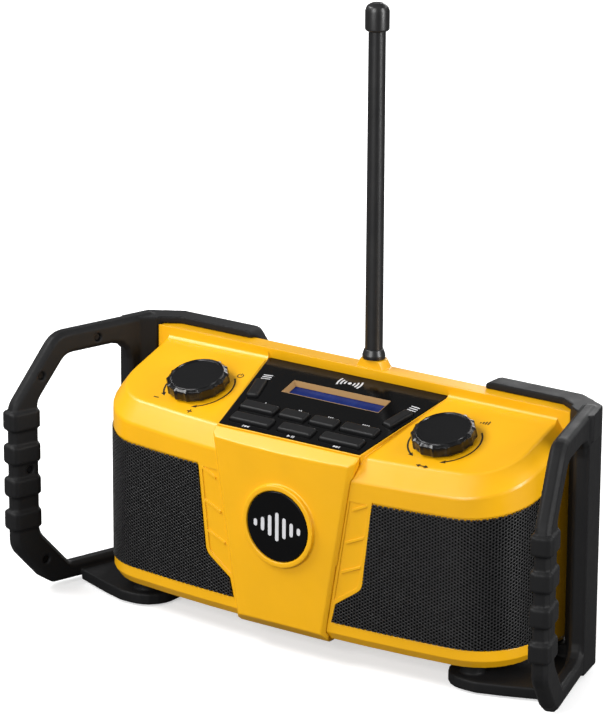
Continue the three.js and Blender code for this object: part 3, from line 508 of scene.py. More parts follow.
def stacked(rings):
    """Vertices and faces of a closed body through rings with equal numbers of points."""
    count = len(rings[0])
    vertices = [point for ring in rings for point in ring]
    faces = []
    for level in range(len(rings) - 1):
        low = level * count
        for i in range(count):
            j = (i + 1) % count
            faces.append((low + i, low + j, low + count + j, low + count + i))
    faces.append(tuple(reversed(range(count))))
    faces.append(tuple(range(len(vertices) - count, len(vertices))))
    return vertices, faces


def ring_at(radius, height, count, wave=None):
    points = []
    for i in range(count):
        angle = 2 * math.pi * i / count
        reach = radius - (wave(angle) if wave else 0)
        points.append((reach * math.cos(angle), reach * math.sin(angle), height))
    return points


def prints(name, shapes, matrix, material, body, height=0.05 * MM, base=0.01 * MM):
    """Thin raised plates, in millimetres in the frame's own x and y, as printed marks."""
    vertices, faces = [], []
    for shape in shapes:
        area = sum(a[0] * b[1] - b[0] * a[1] for a, b in zip(shape, shape[1:] + shape[:1]))
        outline = shape if area > 0 else shape[::-1]
        first = len(vertices)
        count = len(outline)
        for level in (base, base + height):
            vertices += [(x * MM, y * MM, level) for x, y in outline]
        faces.append(tuple(first + i for i in reversed(range(count))))
        faces.append(tuple(first + count + i for i in range(count)))
        for i in range(count):
            j = (i + 1) % count
            faces.append((first + i, first + j, first + count + j, first + count + i))
    return piece(name, vertices, faces, material, body, matrix)


# -------------------------------- flat shapes, in millimetres


def polar(radius, angle):
    return radius * math.cos(angle), radius * math.sin(angle)


def moved(shape, dx, dy, turn=0.0):
    c, s = math.cos(turn), math.sin(turn)
    return [(x * c - y * s + dx, x * s + y * c + dy) for x, y in shape]


def bar(width, height):
    x, y = width / 2, height / 2
    return [(-x, -y), (x, -y), (x, y), (-x, y)]


def pill(width, height, steps=6):
    """An upright bar with round ends."""
    radius = width / 2
    reach = height / 2 - radius
    top = [math.pi * k / steps for k in range(steps + 1)]
    upper = [(radius * math.cos(a), reach + radius * math.sin(a)) for a in top]
    return upper + [(-x, -y) for x, y in upper]


def disc(radius, count=16):
    return [polar(radius, 2 * math.pi * k / count) for k in range(count)]


def arc_band(radius, width, start, stop, steps=48):
    """A strip along an arc; the angles are in degrees."""
    angles = [math.radians(start + (stop - start) * k / steps) for k in range(steps + 1)]
    inner, outer = radius - width / 2, radius + width / 2
    shapes = []
    for a, b in zip(angles, angles[1:]):
        shapes.append([polar(inner, a), polar(outer, a), polar(outer, b), polar(inner, b)])
    return shapes


def triangle(length, height):
    """A triangle that points to +x."""
    return [(-length / 2, -height / 2), (length / 2, 0), (-length / 2, height / 2)]


# -------------------------------- materials

YELLOW = (0.88, 0.44, 0.004)
BLACK = (0.0085, 0.0085, 0.009)
# Each moulded material's colour, roughness, grain and its depth in mm, edge wear with painted edge
# highlight, and specular level.
MOULDED = {
    "housing_yellow": (YELLOW, 0.33, 0.5, 0.008, 0.2, 0.5),
    "grip_rubber": (BLACK, 0.55, 0.35, 0.03, 0.35, 0.2),
    "foot_rubber": ((0.008, 0.008, 0.008), 0.7, 0.4, 0.04, 0.3, 0.3),
    "antenna_rubber": ((0.008, 0.008, 0.0085), 0.36, 0.3, 0.008, 0.2, 0.6),
    "key_plastic": (BLACK, 0.45, 0.25, 0.012, 0.3, 0.25),
    "knob_plastic": ((0.0035, 0.0035, 0.004), 0.24, 0.25, 0.006, 0.3, 0.4),
    "grille_steel": ((0.006, 0.006, 0.0065), 0.4, 0.3, 0.006, 0.2, 0.9),
    "display_frame": ((0.38, 0.22, 0.085), 0.45, 0.3, 0.01, 0.1, 0.5),
}
MATERIALS = {name: moulded(name, *values) for name, values in MOULDED.items()}
MATERIALS |= {
    "fascia_gloss": gloss("fascia_gloss", (0.003, 0.003, 0.0033), 0.14),
    "grille_cloth": woven("grille_cloth", (0.0015, 0.0015, 0.0015), 0.6 * MM),
    "bare_steel": metal("bare_steel", (0.52, 0.52, 0.53), 0.34),
    "black_steel": metal("black_steel", (0.02, 0.02, 0.021), 0.5),
    "cone_paper": paper("cone_paper", (0.02, 0.02, 0.021)),
    "circuit_board": circuit_board("circuit_board"),
    "display_glass": display_glass("display_glass", PANEL_UP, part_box("lcd_screen")[0].dot(PANEL_UP)),
    "white_ink": printed("white_ink", (0.72, 0.72, 0.74)),
    "black_ink": printed("black_ink", (0.012, 0.005, 0.001)),
}

# -------------------------------- CAD nodes that stay

PANEL_EDGE_FRONT = 50.8 * MM
PANEL_EDGE_REAR = 65.5 * MM
fascia_low, fascia_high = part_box("control_fascia")
SEAT_CLEARANCE = 2.5 * MM
TOP_SLOPE = math.tan(math.radians(17.3))
TOP_EDGE_LEVEL = 125 * MM
RIBS_OUTER_X = 70 * MM
RIBS_LOW_Z = 39 * MM
RIBS_HIGH_Z = 109 * MM
RIDGE_FRONT = 24 * MM
HOUSING_SEAM_Y = 43 * MM


def smooth_band(node, voxel, repeats):
    """Remeshes a CAD node evenly and rubs it down, so that all its edges are soft."""
    thing = NODES[node]
    thing.data.materials.clear()
    thing.data.materials.append(MATERIALS["housing_yellow"])
    thing.modifiers.new("join", "WELD").merge_threshold = WELD_DISTANCE
    rubbed_down(thing, voxel, repeats, 0.35)


def below(direction, distance):
    """A plane of rounding_rule that holds on the near side of a distance."""
    return tuple(-part for part in direction), -distance


seat_side = Vector((fascia_high.y - fascia_low.y, PANEL_EDGE_FRONT - PANEL_EDGE_REAR, 0)).normalized()
seat_reach = seat_side.dot(Vector((PANEL_EDGE_FRONT, fascia_low.y, 0))) + SEAT_CLEARANCE
top_face = (0, -TOP_SLOPE, 1)
housing_rule = rounding_rule(
    "housing_rounding",
    [
        (0.3, [below(top_face, TOP_EDGE_LEVEL)]),
        (0.3, [(top_face, TOP_EDGE_LEVEL), below(seat_side, seat_reach)]),
        (0.2, [((0, 1, 0), RIDGE_FRONT), (top_face, TOP_EDGE_LEVEL)]),
        (0.3, [below(X_AXIS, RIBS_OUTER_X), (Z_AXIS, RIBS_LOW_Z), below(Z_AXIS, RIBS_HIGH_Z)]),
    ],
)
dress_weighted("front_housing", "housing_yellow", 1.5 * MM, 3, housing_rule)
rear_rule = rounding_rule("rear_housing_rounding", [(0.2, [below((0, 1, 0), HOUSING_SEAM_Y)])], 32)
dress_weighted("rear_housing", "housing_yellow", 0.7 * MM, 2, rear_rule)
smooth_band("centre_panel", 0.5 * MM, 6)
dress("battery_door", "housing_yellow", 0.35 * MM)
dress("control_fascia", "fascia_gloss", 0.2 * MM)
dress("badge", "fascia_gloss", 0.25 * MM, 2, 20)
dress("lcd_frame", "display_frame", 0.15 * MM)
dress("lcd_screen", "display_glass", 0.15 * MM)
dress("door_hinge_pin", "bare_steel", 0.2 * MM)
dress("antenna_base", "antenna_rubber", 0.35 * MM, 3, 15)
dress("antenna_cap", "antenna_rubber", 0.5 * MM, 3, 20)
dress("port_cover", "grip_rubber", 0.3 * MM)
dress("socket_block", "key_plastic", 0.3 * MM)
dress("housing_seal", "foot_rubber", 0.3 * MM)
dress("battery_pack", "key_plastic", 0.5 * MM)
dress("door_latch", "key_plastic", 0.3 * MM)
for node in ("lcd_board", "keypad_board", "main_board"):
    dress(node, "circuit_board", 0.1 * MM)
for node in NODES:
    if node.endswith("_key"):
        dress(node, "key_plastic", 0.55 * MM, 3, 25)
    elif node.endswith("_encoder"):
        dress(node, "key_plastic", 0.2 * MM)
    elif node.endswith(("_shaft", "_rotor")):
        dress(node, "bare_steel", 0.2 * MM)
    elif node.startswith("speaker_basket"):
        dress(node, "bare_steel", 0.3 * MM, 2, 40)
    elif node.startswith("speaker_cone"):
        dress(node, "cone_paper", 0.2 * MM, 2, 40)
    elif node.startswith("foot_pad"):
        dress(node, "foot_rubber", 0.3 * MM)
    elif "_screw_" in node:
        dress(node, "black_steel", 0.3 * MM)

# -------------------------------- handles

HANDLE_TURN = math.radians(17)
HANDLE_SEAM_REACH = 0.3 * MM
HANDLE_OVERLAP = 0.02 * MM


def seam_plane(word):
    """A point on the middle plane between a handle's halves, and the plane's outward normal."""
    side = SIDES[word]
    outward = Vector((side * math.cos(HANDLE_TURN), math.sin(HANDLE_TURN), 0))
    inner_reach = extreme(f"handle_{word}_inner", outward)
    outer_reach = extreme(f"handle_{word}_outer", outward, min)
    return outward * (inner_reach + outer_reach) / 2, outward


def handle_skin(word):
    """The rubber over both halves of a handle, without the seam between them."""
    point, outward = seam_plane(word)
    middle = point.dot(outward)
    halves = []
    for part, overlap in (("outer", -HANDLE_OVERLAP), ("inner", HANDLE_OVERLAP)):
        mesh = NODES[f"handle_{word}_{part}"].data.copy()
        for vertex in mesh.vertices:
            depth = vertex.co.dot(outward) - middle
            if abs(depth) < HANDLE_SEAM_REACH:
                vertex.co += outward * (overlap - depth)
        half = placed(f"half_{part}", mesh)
        half.modifiers.new("join", "WELD").merge_threshold = WELD_DISTANCE
        halves.append(half)
    union = halves[0].modifiers.new("union", "BOOLEAN")
    union.operation = "UNION"
    union.solver = "MANIFOLD"
    union.object = halves[1]
    rubbed_down(halves[0], 0.7 * MM, 3, 0.3)
    evaluated = halves[0].evaluated_get(bpy.context.evaluated_depsgraph_get())
    whole = bpy.data.meshes.new_from_object(evaluated)
    for half in halves:
        bpy.data.objects.remove(half)
    whole.materials.clear()
    whole.materials.append(MATERIALS["grip_rubber"])
    skin = placed(f"handle_skin_{word}", whole)
    for face in whole.polygons:
        face.use_smooth = True
    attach(skin, "housing")
    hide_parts(f"handle_{word}_outer", f"handle_{word}_inner")


for word in SIDES:
    handle_skin(word)

# -------------------------------- display lining


def display_lining():
    """The tan walls of the display's opening, sloping in from its edge to the glass."""
    xs = [vertex.co.x for vertex in NODES["lcd_frame"].data.vertices]
    low_edge = extreme("lcd_frame", PANEL_UP, min) - PANEL_ORIGIN.dot(PANEL_UP)
    high_edge = extreme("lcd_frame", PANEL_UP) - PANEL_ORIGIN.dot(PANEL_UP)
    floor_depth = extreme("lcd_frame", PANEL_NORMAL, min) - PANEL_ORIGIN.dot(PANEL_NORMAL)

    def loop(inset, height):
        left, right = min(xs) + inset, max(xs) - inset
        low, high = low_edge + inset, high_edge - inset
        return [(left, low, height), (right, low, height), (right, high, height), (left, high, height)]

    rings = [
        loop(0, floor_depth),
        loop(0, -0.15 * MM),
        loop(0.15 * MM, -0.05 * MM),
        loop(1.5 * MM, floor_depth),
    ]
    vertices = [point for ring in rings for point in ring]
    faces = []
    for level in range(4):
        for i in range(4):
            j = (i + 1) % 4
            low, high = level * 4, (level + 1) % 4 * 4
            faces.append((low + i, low + j, high + j, high + i))
    slot = "display_frame"
    lining = piece("display_lining", vertices, faces, slot, "housing", PANEL_FRAME)
    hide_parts("lcd_frame")


display_lining()

# -------------------------------- grilles

BOW_RADIUS = 1.01
CORNER_RADIUS = 38 * MM
HOLE_PITCH = 2.13 * MM
HOLE_RADIUS = 0.86 * MM
HOLE_SIDES = 6
GRILLE_PROUD = 0.6 * MM
SHEET_THICKNESS = 0.7 * MM
WINDOW_CLEARANCE = 0.3 * MM
WINDOW_TOP_SLOPE = 0.19
WINDOW_INNER_EDGE = [(35.7, 27.6), (38.6, 39.7), (56.5, 52.3), (65.9, 133)]
WINDOW_BEND = 2
WINDOW_BEND_RADIUS = 8

body_low, body_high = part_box("front_housing")
grille_low, grille_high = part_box("grille_right")


def body_outline(distance, proud):
    """A point on the body's plan outline, distance along it from the middle of the front."""
    half_width = body_high.x
    bow_y = body_low.y + BOW_RADIUS
    corner_x = half_width - CORNER_RADIUS
    reach = BOW_RADIUS - CORNER_RADIUS
    corner_y = bow_y - math.sqrt(reach**2 - corner_x**2)
    tangent = math.asin(corner_x / reach)
    bow_length = BOW_RADIUS * tangent
    corner_length = CORNER_RADIUS * (math.pi / 2 - tangent)
    if distance < bow_length:
        angle = distance / BOW_RADIUS
        radius = BOW_RADIUS + proud
        return radius * math.sin(angle), bow_y - radius * math.cos(angle)
    if distance < bow_length + corner_length:
        angle = tangent + (distance - bow_length) / CORNER_RADIUS
        radius = CORNER_RADIUS + proud
        return corner_x + radius * math.sin(angle), corner_y - radius * math.cos(angle)
    return half_width + proud, corner_y + distance - bow_length - corner_length


def hole_lattice(start, stop, low, high):
    """Vertices and faces of a flat sheet with staggered holes, in (distance, height)."""
    column_step = HOLE_PITCH * math.sqrt(3) / 2
    angles = np.radians(np.arange(HOLE_SIDES) * 360 / HOLE_SIDES)
    circle = np.stack([np.cos(angles), np.sin(angles)], 1)
    corners = [circle * HOLE_PITCH / math.sqrt(3), circle * HOLE_RADIUS]
    centres = []
    for column in range(int((stop - start) / column_step) + 2):
        shift = HOLE_PITCH / 2 * (column % 2)
        for row in range(int((high - low) / HOLE_PITCH) + 2):
            centres.append((start + column * column_step, low + shift + row * HOLE_PITCH))
    cells = np.array(centres)[:, None, :] + np.concatenate(corners)[None]
    points, index = np.unique(np.round(cells.reshape(-1, 2), 7), axis=0, return_inverse=True)
    index = index.reshape(len(centres), 2 * HOLE_SIDES)
    faces = []
    for j in range(HOLE_SIDES):
        k = (j + 1) % HOLE_SIDES
        faces.append(index[:, [HOLE_SIDES + j, j, k, HOLE_SIDES + k]])
    return points, np.concatenate(faces)


def plain_lattice(start, stop, low, high, step=2 * MM):
    count = int((stop - start) / step) + 1
    points = [(start + i * step, z) for i in range(count + 1) for z in (low, high)]
    faces = [(2 * i, 2 * i + 2, 2 * i + 3, 2 * i + 1) for i in range(count)]
    return np.array(points), np.array(faces)


def inner_edge():
    """The right-hand window's inner edge from bottom to top, in (x, z), with its bend rounded."""
    before, bend, after = [Vector(p) for p in WINDOW_INNER_EDGE[WINDOW_BEND - 1 : WINDOW_BEND + 2]]
    back, ahead = (before - bend).normalized(), (after - bend).normalized()
    half = math.acos(back.dot(ahead)) / 2
    reach = WINDOW_BEND_RADIUS / math.tan(half)
    start, stop = bend + back * reach, bend + ahead * reach
    arc = []
    for k in range(5):
        share = k / 4
        first, second = start.lerp(bend, share), bend.lerp(stop, share)
        arc.append(first.lerp(second, share))
    points = [Vector(WINDOW_INNER_EDGE[0]), Vector(WINDOW_INNER_EDGE[1]), *arc, Vector(WINDOW_INNER_EDGE[3])]
    return [(p.x * MM + WINDOW_CLEARANCE, p.y * MM) for p in points]


def kept_side(mesh, planes):
    """A copy of the mesh behind every plane, each given as a point and an outward normal."""
    part = bmesh.new()
    part.from_mesh(mesh)
    for point, normal in planes:
        geometry = part.verts[:] + part.edges[:] + part.faces[:]
        bmesh.ops.bisect_plane(part, geom=geometry, plane_co=point, plane_no=normal, clear_outer=True)
    kept = bpy.data.meshes.new("kept")
    part.to_mesh(kept)
    part.free()
    return kept


def trimmed_to_window(mesh, top_margin):
    """The part of a sheet inside the right-hand grille window."""
    top_point = Vector((0, grille_high.y, grille_high.z - top_margin))
    rim = kept_side(
        mesh,
        [
            (Vector((0, 0, grille_low.z)), Vector((0, 0, -1))),
            (Vector((0, grille_high.y, 0)), Vector((0, 1, 0))),
            (top_point, Vector((0, -WINDOW_TOP_SLOPE, 1))),
        ],
    )
    edge = inner_edge()
    beyond_edge = Vector((edge[-1][0], 0, 0))
    parts = [kept_side(rim, [(beyond_edge, Vector((-1, 0, 0)))])]
    strip = kept_side(rim, [(beyond_edge, Vector((1, 0, 0)))])
    for (x0, z0), (x1, z1) in zip(edge, edge[1:]):
        above = Vector((z0 - z1, 0, x1 - x0))
        parts.append(
            kept_side(
                strip,
                [
                    (Vector((x0, 0, 0)), Vector((-1, 0, 0))),
                    (Vector((x1, 0, 0)), Vector((1, 0, 0))),
                    (Vector((x0, 0, z0)), above),
                ],
            )
        )
    joined = bmesh.new()
    for part in parts:
        joined.from_mesh(part)
    bmesh.ops.remove_doubles(joined, verts=joined.verts[:], dist=0.01 * MM)
    return joined


def curved_sheet(name, lattice, proud, thickness, material, side, top_margin=0.0):
    """A sheet bent round the body's front corner and trimmed to the grille window."""
    points, faces = lattice
    vertices = []
    for distance, height in points:
        x, y = body_outline(distance, proud)
        vertices.append((x, y, height))
    whole = bpy.data.meshes.new(name)
    whole.from_pydata(vertices, [], faces.tolist())
    joined = trimmed_to_window(whole, top_margin)
    if side < 0:
        bmesh.ops.scale(joined, vec=(-1, 1, 1), verts=joined.verts[:])
        bmesh.ops.reverse_faces(joined, faces=joined.faces[:])
    for face in joined.faces:
        face.smooth = True
    mesh = bpy.data.meshes.new(name)
    joined.to_mesh(mesh)
    joined.free()
    mesh.materials.append(MATERIALS[material])
    made = placed(name, mesh)
    solid = made.modifiers.new("thickness", "SOLIDIFY")
    solid.thickness = thickness
    solid.offset = -1
    shading = made.modifiers.new("shading", "NODES")
    shading.node_group = smoothing()
    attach(made, "housing")
    return made


CLOTH_GAP = 0.3 * MM
CLOTH_TOP_MARGIN = 1.3 * MM
LEDGE_GAP = 0.9 * MM
LEDGE_HEIGHT = 16 * MM
SHEET_START = 30 * MM
SHEET_END = 230 * MM
sheet_area = (SHEET_START, SHEET_END, grille_low.z - 4 * MM, grille_high.z + 4 * MM)
for word, side in SIDES.items():
    sheet = curved_sheet(
        f"perforated_sheet_{word}",
        hole_lattice(*sheet_area),
        GRILLE_PROUD,
        SHEET_THICKNESS,
        "grille_steel",
        side,
    )
    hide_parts(f"grille_{word}")
    curved_sheet(
        f"grille_cloth_{word}",
        plain_lattice(*sheet_area),
        GRILLE_PROUD - SHEET_THICKNESS - CLOTH_GAP,
        0.5 * MM,
        "grille_cloth",
        side,
        top_margin=CLOTH_TOP_MARGIN,
    )
    curved_sheet(
        f"window_ledge_{word}",
        plain_lattice(SHEET_START, SHEET_END, grille_high.z - LEDGE_HEIGHT, grille_high.z),
        GRILLE_PROUD - SHEET_THICKNESS - LEDGE_GAP,
        0.8 * MM,
        "housing_yellow",
        side,
    )

# -------------------------------- knobs

# The caps are 39.4 mm across, while the CAD knobs that they replace are 36.5 mm.
KNOB_RIDGES = 14
RIDGE_DEPTH = 0.85 * MM
RIDGE_WIDTH = 1.25 * MM
RIDGE_PITCH_RADIUS = 18.3 * MM
# From the hub to the middle of the sunk top: radius and height in mm, and share of the ridges' depth.
KNOB_PROFILE = [
    (6.4, 1.0, 0),
    (18.6, 1.0, 0.6),
    (19.4, 1.5, 1),
    (19.7, 2.2, 1),
    (19.6, 6.9, 1),
    (19.4, 7.6, 1),
    (18.4, 8.2, 0.8),
    (17.6, 8.6, 0.4),
    (17.1, 8.8, 0.1),
    (16.9, 9.15, 0),
    (16.6, 9.3, 0),
    (16.2, 9.2, 0),
    (16.0, 8.85, 0),
    (15.8, 8.5, 0),
    (8.0, 8.5, 0),
    (0.5, 8.5, 0),
]


def knob(word):
    """A round knob with sharp ridges between shallow scallops and a sunk flat top."""
    count = KNOB_RIDGES * 16
    rings = []
    for radius, height, share in KNOB_PROFILE:

        def wave(angle, depth=share * RIDGE_DEPTH):
            step = 2 * math.pi / KNOB_RIDGES
            along = ((angle / step + 0.5) % 1 - 0.5) * step * RIDGE_PITCH_RADIUS / RIDGE_WIDTH
            return depth * (1 - math.exp(-(along**2)))

        rings.append(ring_at(radius * MM, height * MM, count, wave))
    vertices, faces = stacked(rings)
    made = piece(
        f"{word}_knob_cap",
        vertices,
        faces,
        "knob_plastic",
        f"{word}_knob",
        knob_frame(word),
    )
    soften(made, flatten=False)
    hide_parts(f"{word}_knob")


for word in ("volume", "tuning"):
    knob(word)

# -------------------------------- antenna sleeve

antenna_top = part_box("antenna_rod")[1].z
base_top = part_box("antenna_base")[1].z
antenna_pivot = Vector(JOINTS["antenna_flex"]["pos_m"])
SLEEVE_IN_CAP = 0.8 * MM
SLEEVE_IN_BASE = 2.5 * MM
SLEEVE_LOW_RADIUS = 5.45 * MM
SLEEVE_HIGH_RADIUS = 5.2 * MM


def antenna_sleeve():
    """The rubber whip as one straight tapered tube from inside the ferrule up into the cap."""
    start = base_top - SLEEVE_IN_BASE
    heights = [start + 1.5 * MM * k for k in range(24)]
    top = antenna_top + SLEEVE_IN_CAP
    heights += [heights[-1] + (top - heights[-1]) * k / 8 for k in range(1, 8)]
    heights += [top - 0.2 * MM, top]
    heights.insert(1, start + 0.2 * MM)
    rings = []
    for height in heights:
        share = (height - start) / (antenna_top - start)
        radius = SLEEVE_LOW_RADIUS + (SLEEVE_HIGH_RADIUS - SLEEVE_LOW_RADIUS) * share
        rings.append(ring_at(radius, height, 40))
    vertices, faces = stacked(rings)
    place = Matrix.Translation((antenna_pivot.x, antenna_pivot.y, 0))
    mesh = bpy.data.meshes.new("antenna_sleeve")
    mesh.from_pydata(vertices, [], faces)
    mesh.transform(place)
    mesh.materials.append(MATERIALS["antenna_rubber"])
    made = placed("antenna_sleeve", mesh)
    for face in mesh.polygons:
        face.use_smooth = len(face.vertices) == 4
    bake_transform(made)
    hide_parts("antenna_rod")


antenna_sleeve()

# -------------------------------- printed marks

# Heights up the control panel from its front edge, in mm.
FRONT_SIGNS_UP = 2.2
PRESET_SIGNS_UP = 28.9
LIST_SIGNS_UP = 54.8
SIGNAL_SIGN_UP = 66.2
LIST_SIGNS_OUT = 1.04


def previous_sign():
    arrows = [moved(triangle(2, 2), x, 0, math.pi) for x in (-1, 1)]
    return [moved(bar(0.5, 2), -2.3, 0), *arrows]


def next_sign():
    return [moved(shape, 0, 0, math.pi) for shape in previous_sign()]


def play_sign():
    return [moved(triangle(2.1, 2.2), -1.4, 0), moved(bar(0.6, 2), 0.8, 0), moved(bar(0.6, 2), 2, 0)]


def dots(count):
    return [moved(disc(0.45), 1.4 * (i - (count - 1) / 2), 0) for i in range(count)]


def list_sign():
    return [moved(bar(6.4, 0.75), 0, 2 * k) for k in (-1, 0, 1)]


def signal_sign():
    """A dot between two pairs of arcs, the common picture for a broadcast."""
    shapes = [disc(1.2)]
    for radius in (3.2, 5.6, 8.0):
        for start in (-26, 154):
            shapes += arc_band(radius, 1.1, start, start + 52, 10)
    return shapes


def panel_marks():
    """The signs beside the keys and above the display."""
    key_x = {}
    for name in NODES:
        if name.endswith("_key"):
            low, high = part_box(name)
            key_x[name] = (low.x + high.x) / 2 / MM
    marks = []
    for name, sign in (("previous_key", previous_sign), ("play_key", play_sign), ("next_key", next_sign)):
        marks += [moved(shape, key_x[name], FRONT_SIGNS_UP) for shape in sign()]
    for number in range(1, 5):
        x = key_x[f"preset_{number}_key"]
        marks += [moved(shape, x, PRESET_SIGNS_UP) for shape in dots(number)]
    for x, turn in ((key_x["mode_key"], 0.12), (key_x["menu_key"], -0.12)):
        marks += [moved(shape, x * LIST_SIGNS_OUT, LIST_SIGNS_UP, turn) for shape in list_sign()]
    marks += [moved(shape, 0, SIGNAL_SIGN_UP) for shape in signal_sign()]
    prints("panel_marks", marks, PANEL_FRAME, "white_ink", "housing")


panel_marks()

LEGEND_RADIUS = 22.1
LEGEND_WIDTH = 1.1
SIGN_RADIUS = 27


def arrow_at(radius, degrees, turn):
    """An arrowhead on the legend's arc: turn is 1 anticlockwise and -1 clockwise."""
    angle = math.radians(degrees)
    return moved(triangle(3.6, 3.0), *polar(radius, angle), angle + turn * math.pi / 2)


def on_circle(shapes, radius, degrees):
    return [moved(shape, *polar(radius, math.radians(degrees))) for shape in shapes]


def turn_arrows(right_end, left_end, right_arrow, left_arrow):
    """Two arcs round a knob, each ending in an arrow at its front; angles in degrees."""
    shapes = arc_band(LEGEND_RADIUS, LEGEND_WIDTH, right_end, 42)
    shapes += arc_band(LEGEND_RADIUS, LEGEND_WIDTH, 168, left_end)
    shapes.append(arrow_at(LEGEND_RADIUS, right_arrow, -1))
    shapes.append(arrow_at(LEGEND_RADIUS, left_arrow, 1))
    return shapes


def volume_legend():
    """Arrows round the knob, with a power sign, a minus and a plus."""
    shapes = turn_arrows(-62, 218, -64, 221)
    power = arc_band(1.9, 0.7, 120, 420, 14) + [moved(bar(0.7, 2.2), 0, 1.4)]
    shapes += on_circle(power, 26, 46)
    shapes += on_circle([bar(3.6, 0.9)], SIGN_RADIUS, 224)
    plus = [bar(3.6, 0.9), moved(bar(0.9, 1.35), 0, 1.1), moved(bar(0.9, 1.35), 0, -1.1)]
    shapes += on_circle(plus, SIGN_RADIUS, -68)
    return shapes


def tuning_legend():
    """Arrows round the knob, with a row of rising bars and a double arrow."""
    shapes = turn_arrows(-60, 236, -62, 239)
    rising = [moved(bar(0.9, 1.2 + 0.8 * k), 1.7 * (k - 1.5), 0.4 * k) for k in range(4)]
    shapes += on_circle(rising, SIGN_RADIUS, 62)
    arrows = [moved(triangle(2.6, 3), 3, 0), moved(triangle(2.6, 3), -3, 0, math.pi), bar(3.4, 0.8)]
    shapes += on_circle(arrows, SIGN_RADIUS, -88)
    return shapes


for word, legend in (("volume", volume_legend()), ("tuning", tuning_legend())):
    prints(f"{word}_legend", legend, knob_frame(word), "black_ink", "housing")


def badge_picture():
    """Seven upright bars, like a level meter, in the middle of the badge."""
    low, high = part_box("badge")
    centre = Vector(((low.x + high.x) / 2, low.y, (low.z + high.z) / 2))
    matrix = frame_matrix(centre, X_AXIS, Z_AXIS, Vector((0, -1, 0)))
    heights = (4.5, 8.5, 13, 18, 13, 8.5, 4.5)
    shapes = [moved(pill(2.5, height), 5.2 * (i - 3), 0) for i, height in enumerate(heights)]
    prints("badge_picture", shapes, matrix, "white_ink", "housing", 0.12 * MM)


badge_picture()

# -------------------------------- back of the radio

REAR_FACE_Y = 53.52 * MM
GRIP_BAR_HEIGHT = 0.7 * MM
COVER_SIGN_HEIGHT = 0.4 * MM
PLATE_SINK = -0.05 * MM
# In mm: each case screw's x and z, and a screw head's radii and heights.
CASE_SCREWS = [(-132, 30), (132, 30), (-132, 128), (132, 128), (0, 128)]
SCREW_PROFILE = [(3.4, -0.3), (3.4, 0.45), (3.0, 0.85), (1.7, 0.85), (1.5, 0.2)]


def rear_frame(x, y, z):
    """A frame on the back, seen from behind: x to the viewer's right, y up."""
    return frame_matrix(Vector((x, y, z)), -X_AXIS, Z_AXIS, Vector((0, 1, 0)))


def case_screws():
    for number, (x, z) in enumerate(CASE_SCREWS, 1):
        rings = [ring_at(radius * MM, height * MM, 24) for radius, height in SCREW_PROFILE]
        vertices, faces = stacked(rings)
        place = rear_frame(x * MM, REAR_FACE_Y, z * MM)
        name = f"case_screw_{number}"
        screw = piece(name, vertices, faces, "black_steel", "housing", place)
        soften(screw, flatten=False)


def door_details():
    """Raised grip bars on the battery door, and a battery sign above them."""
    low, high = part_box("battery_door")
    middle = rear_frame((low.x + high.x) / 2, REAR_FACE_Y, (low.z + high.z) / 2)
    bars = [moved(bar(34, 1.3), 0, 4 * k - 2) for k in (-2, -1, 0, 1, 2)]
    body = "battery_door"
    slot = "housing_yellow"
    grips = prints("door_grip_bars", bars, middle, slot, body, GRIP_BAR_HEIGHT, PLATE_SINK)
    soften(grips, 0.25 * MM, 2, 40, False)
    sign = [moved(bar(15, 0.8), 0, 3.5), moved(bar(15, 0.8), 0, -3.5)]
    sign += [moved(bar(0.8, 7.8), -7.5, 0), moved(bar(0.8, 7.8), 7.5, 0), moved(bar(1.6, 3), 8.9, 0)]
    sign += [moved(bar(3, 0.8), -3.6, 0), moved(bar(3, 0.8), 3.6, 0), moved(bar(0.8, 1.1), 3.6, 0.95)]
    sign += [moved(bar(0.8, 1.1), 3.6, -0.95)]
    marks = [moved(shape, 38, 20) for shape in sign]
    prints("battery_sign", marks, middle, "black_ink", body)


def cover_details():
    """A raised socket sign on the rubber port cover."""
    low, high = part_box("port_cover")
    middle = rear_frame((low.x + high.x) / 2, high.y, (low.z + high.z) / 2)
    shapes = arc_band(4.2, 1.0, 0, 360, 32) + [disc(1.5)]
    body = "port_cover"
    slot = "grip_rubber"
    prints("port_cover_sign", shapes, middle, slot, body, COVER_SIGN_HEIGHT, PLATE_SINK)


case_screws()
door_details()
cover_details()

# -------------------------------- floor, lights and camera

VIEW_HEIGHT = 141 * MM
CENTRE = Vector((0, (cad_box[0].y + cad_box[1].y) / 2, VIEW_HEIGHT))
TARGET = Vector((0, -0.48 * MM, VIEW_HEIGHT))
VIEW_AZIMUTH = math.radians(34.886)
VIEW_ELEVATION = math.radians(17.431)
VIEW_ROLL = math.radians(0.287)
VIEW_DISTANCE = 2.3668
VIEW_SHIFT = (9.977 * MM, -31.796 * MM)
LENS_MM = 198.2
FLOOR_SIZE = 12
# Each light's azimuth and elevation in degrees, distance, width and height in metres, and watts.
LIGHTS = {
    "key": (-60, 44, 1.5, 0.8, 0.6, 18),
    "front": (-2, 20, 1.6, 0.9, 0.7, 17),
    "top": (60, 78, 1.4, 1.0, 0.8, 1.2),
    "fill": (92, 14, 1.5, 0.35, 0.8, 16),
    "rim": (150, 35, 1.8, 0.8, 0.6, 6),
    "back": (-165, 16, 1.8, 0.8, 0.7, 10),
}


def direction_from(azimuth, elevation):
    return Vector(
        (
            math.sin(azimuth) * math.cos(elevation),
            -math.cos(azimuth) * math.cos(elevation),
            math.sin(elevation),
        )
    )


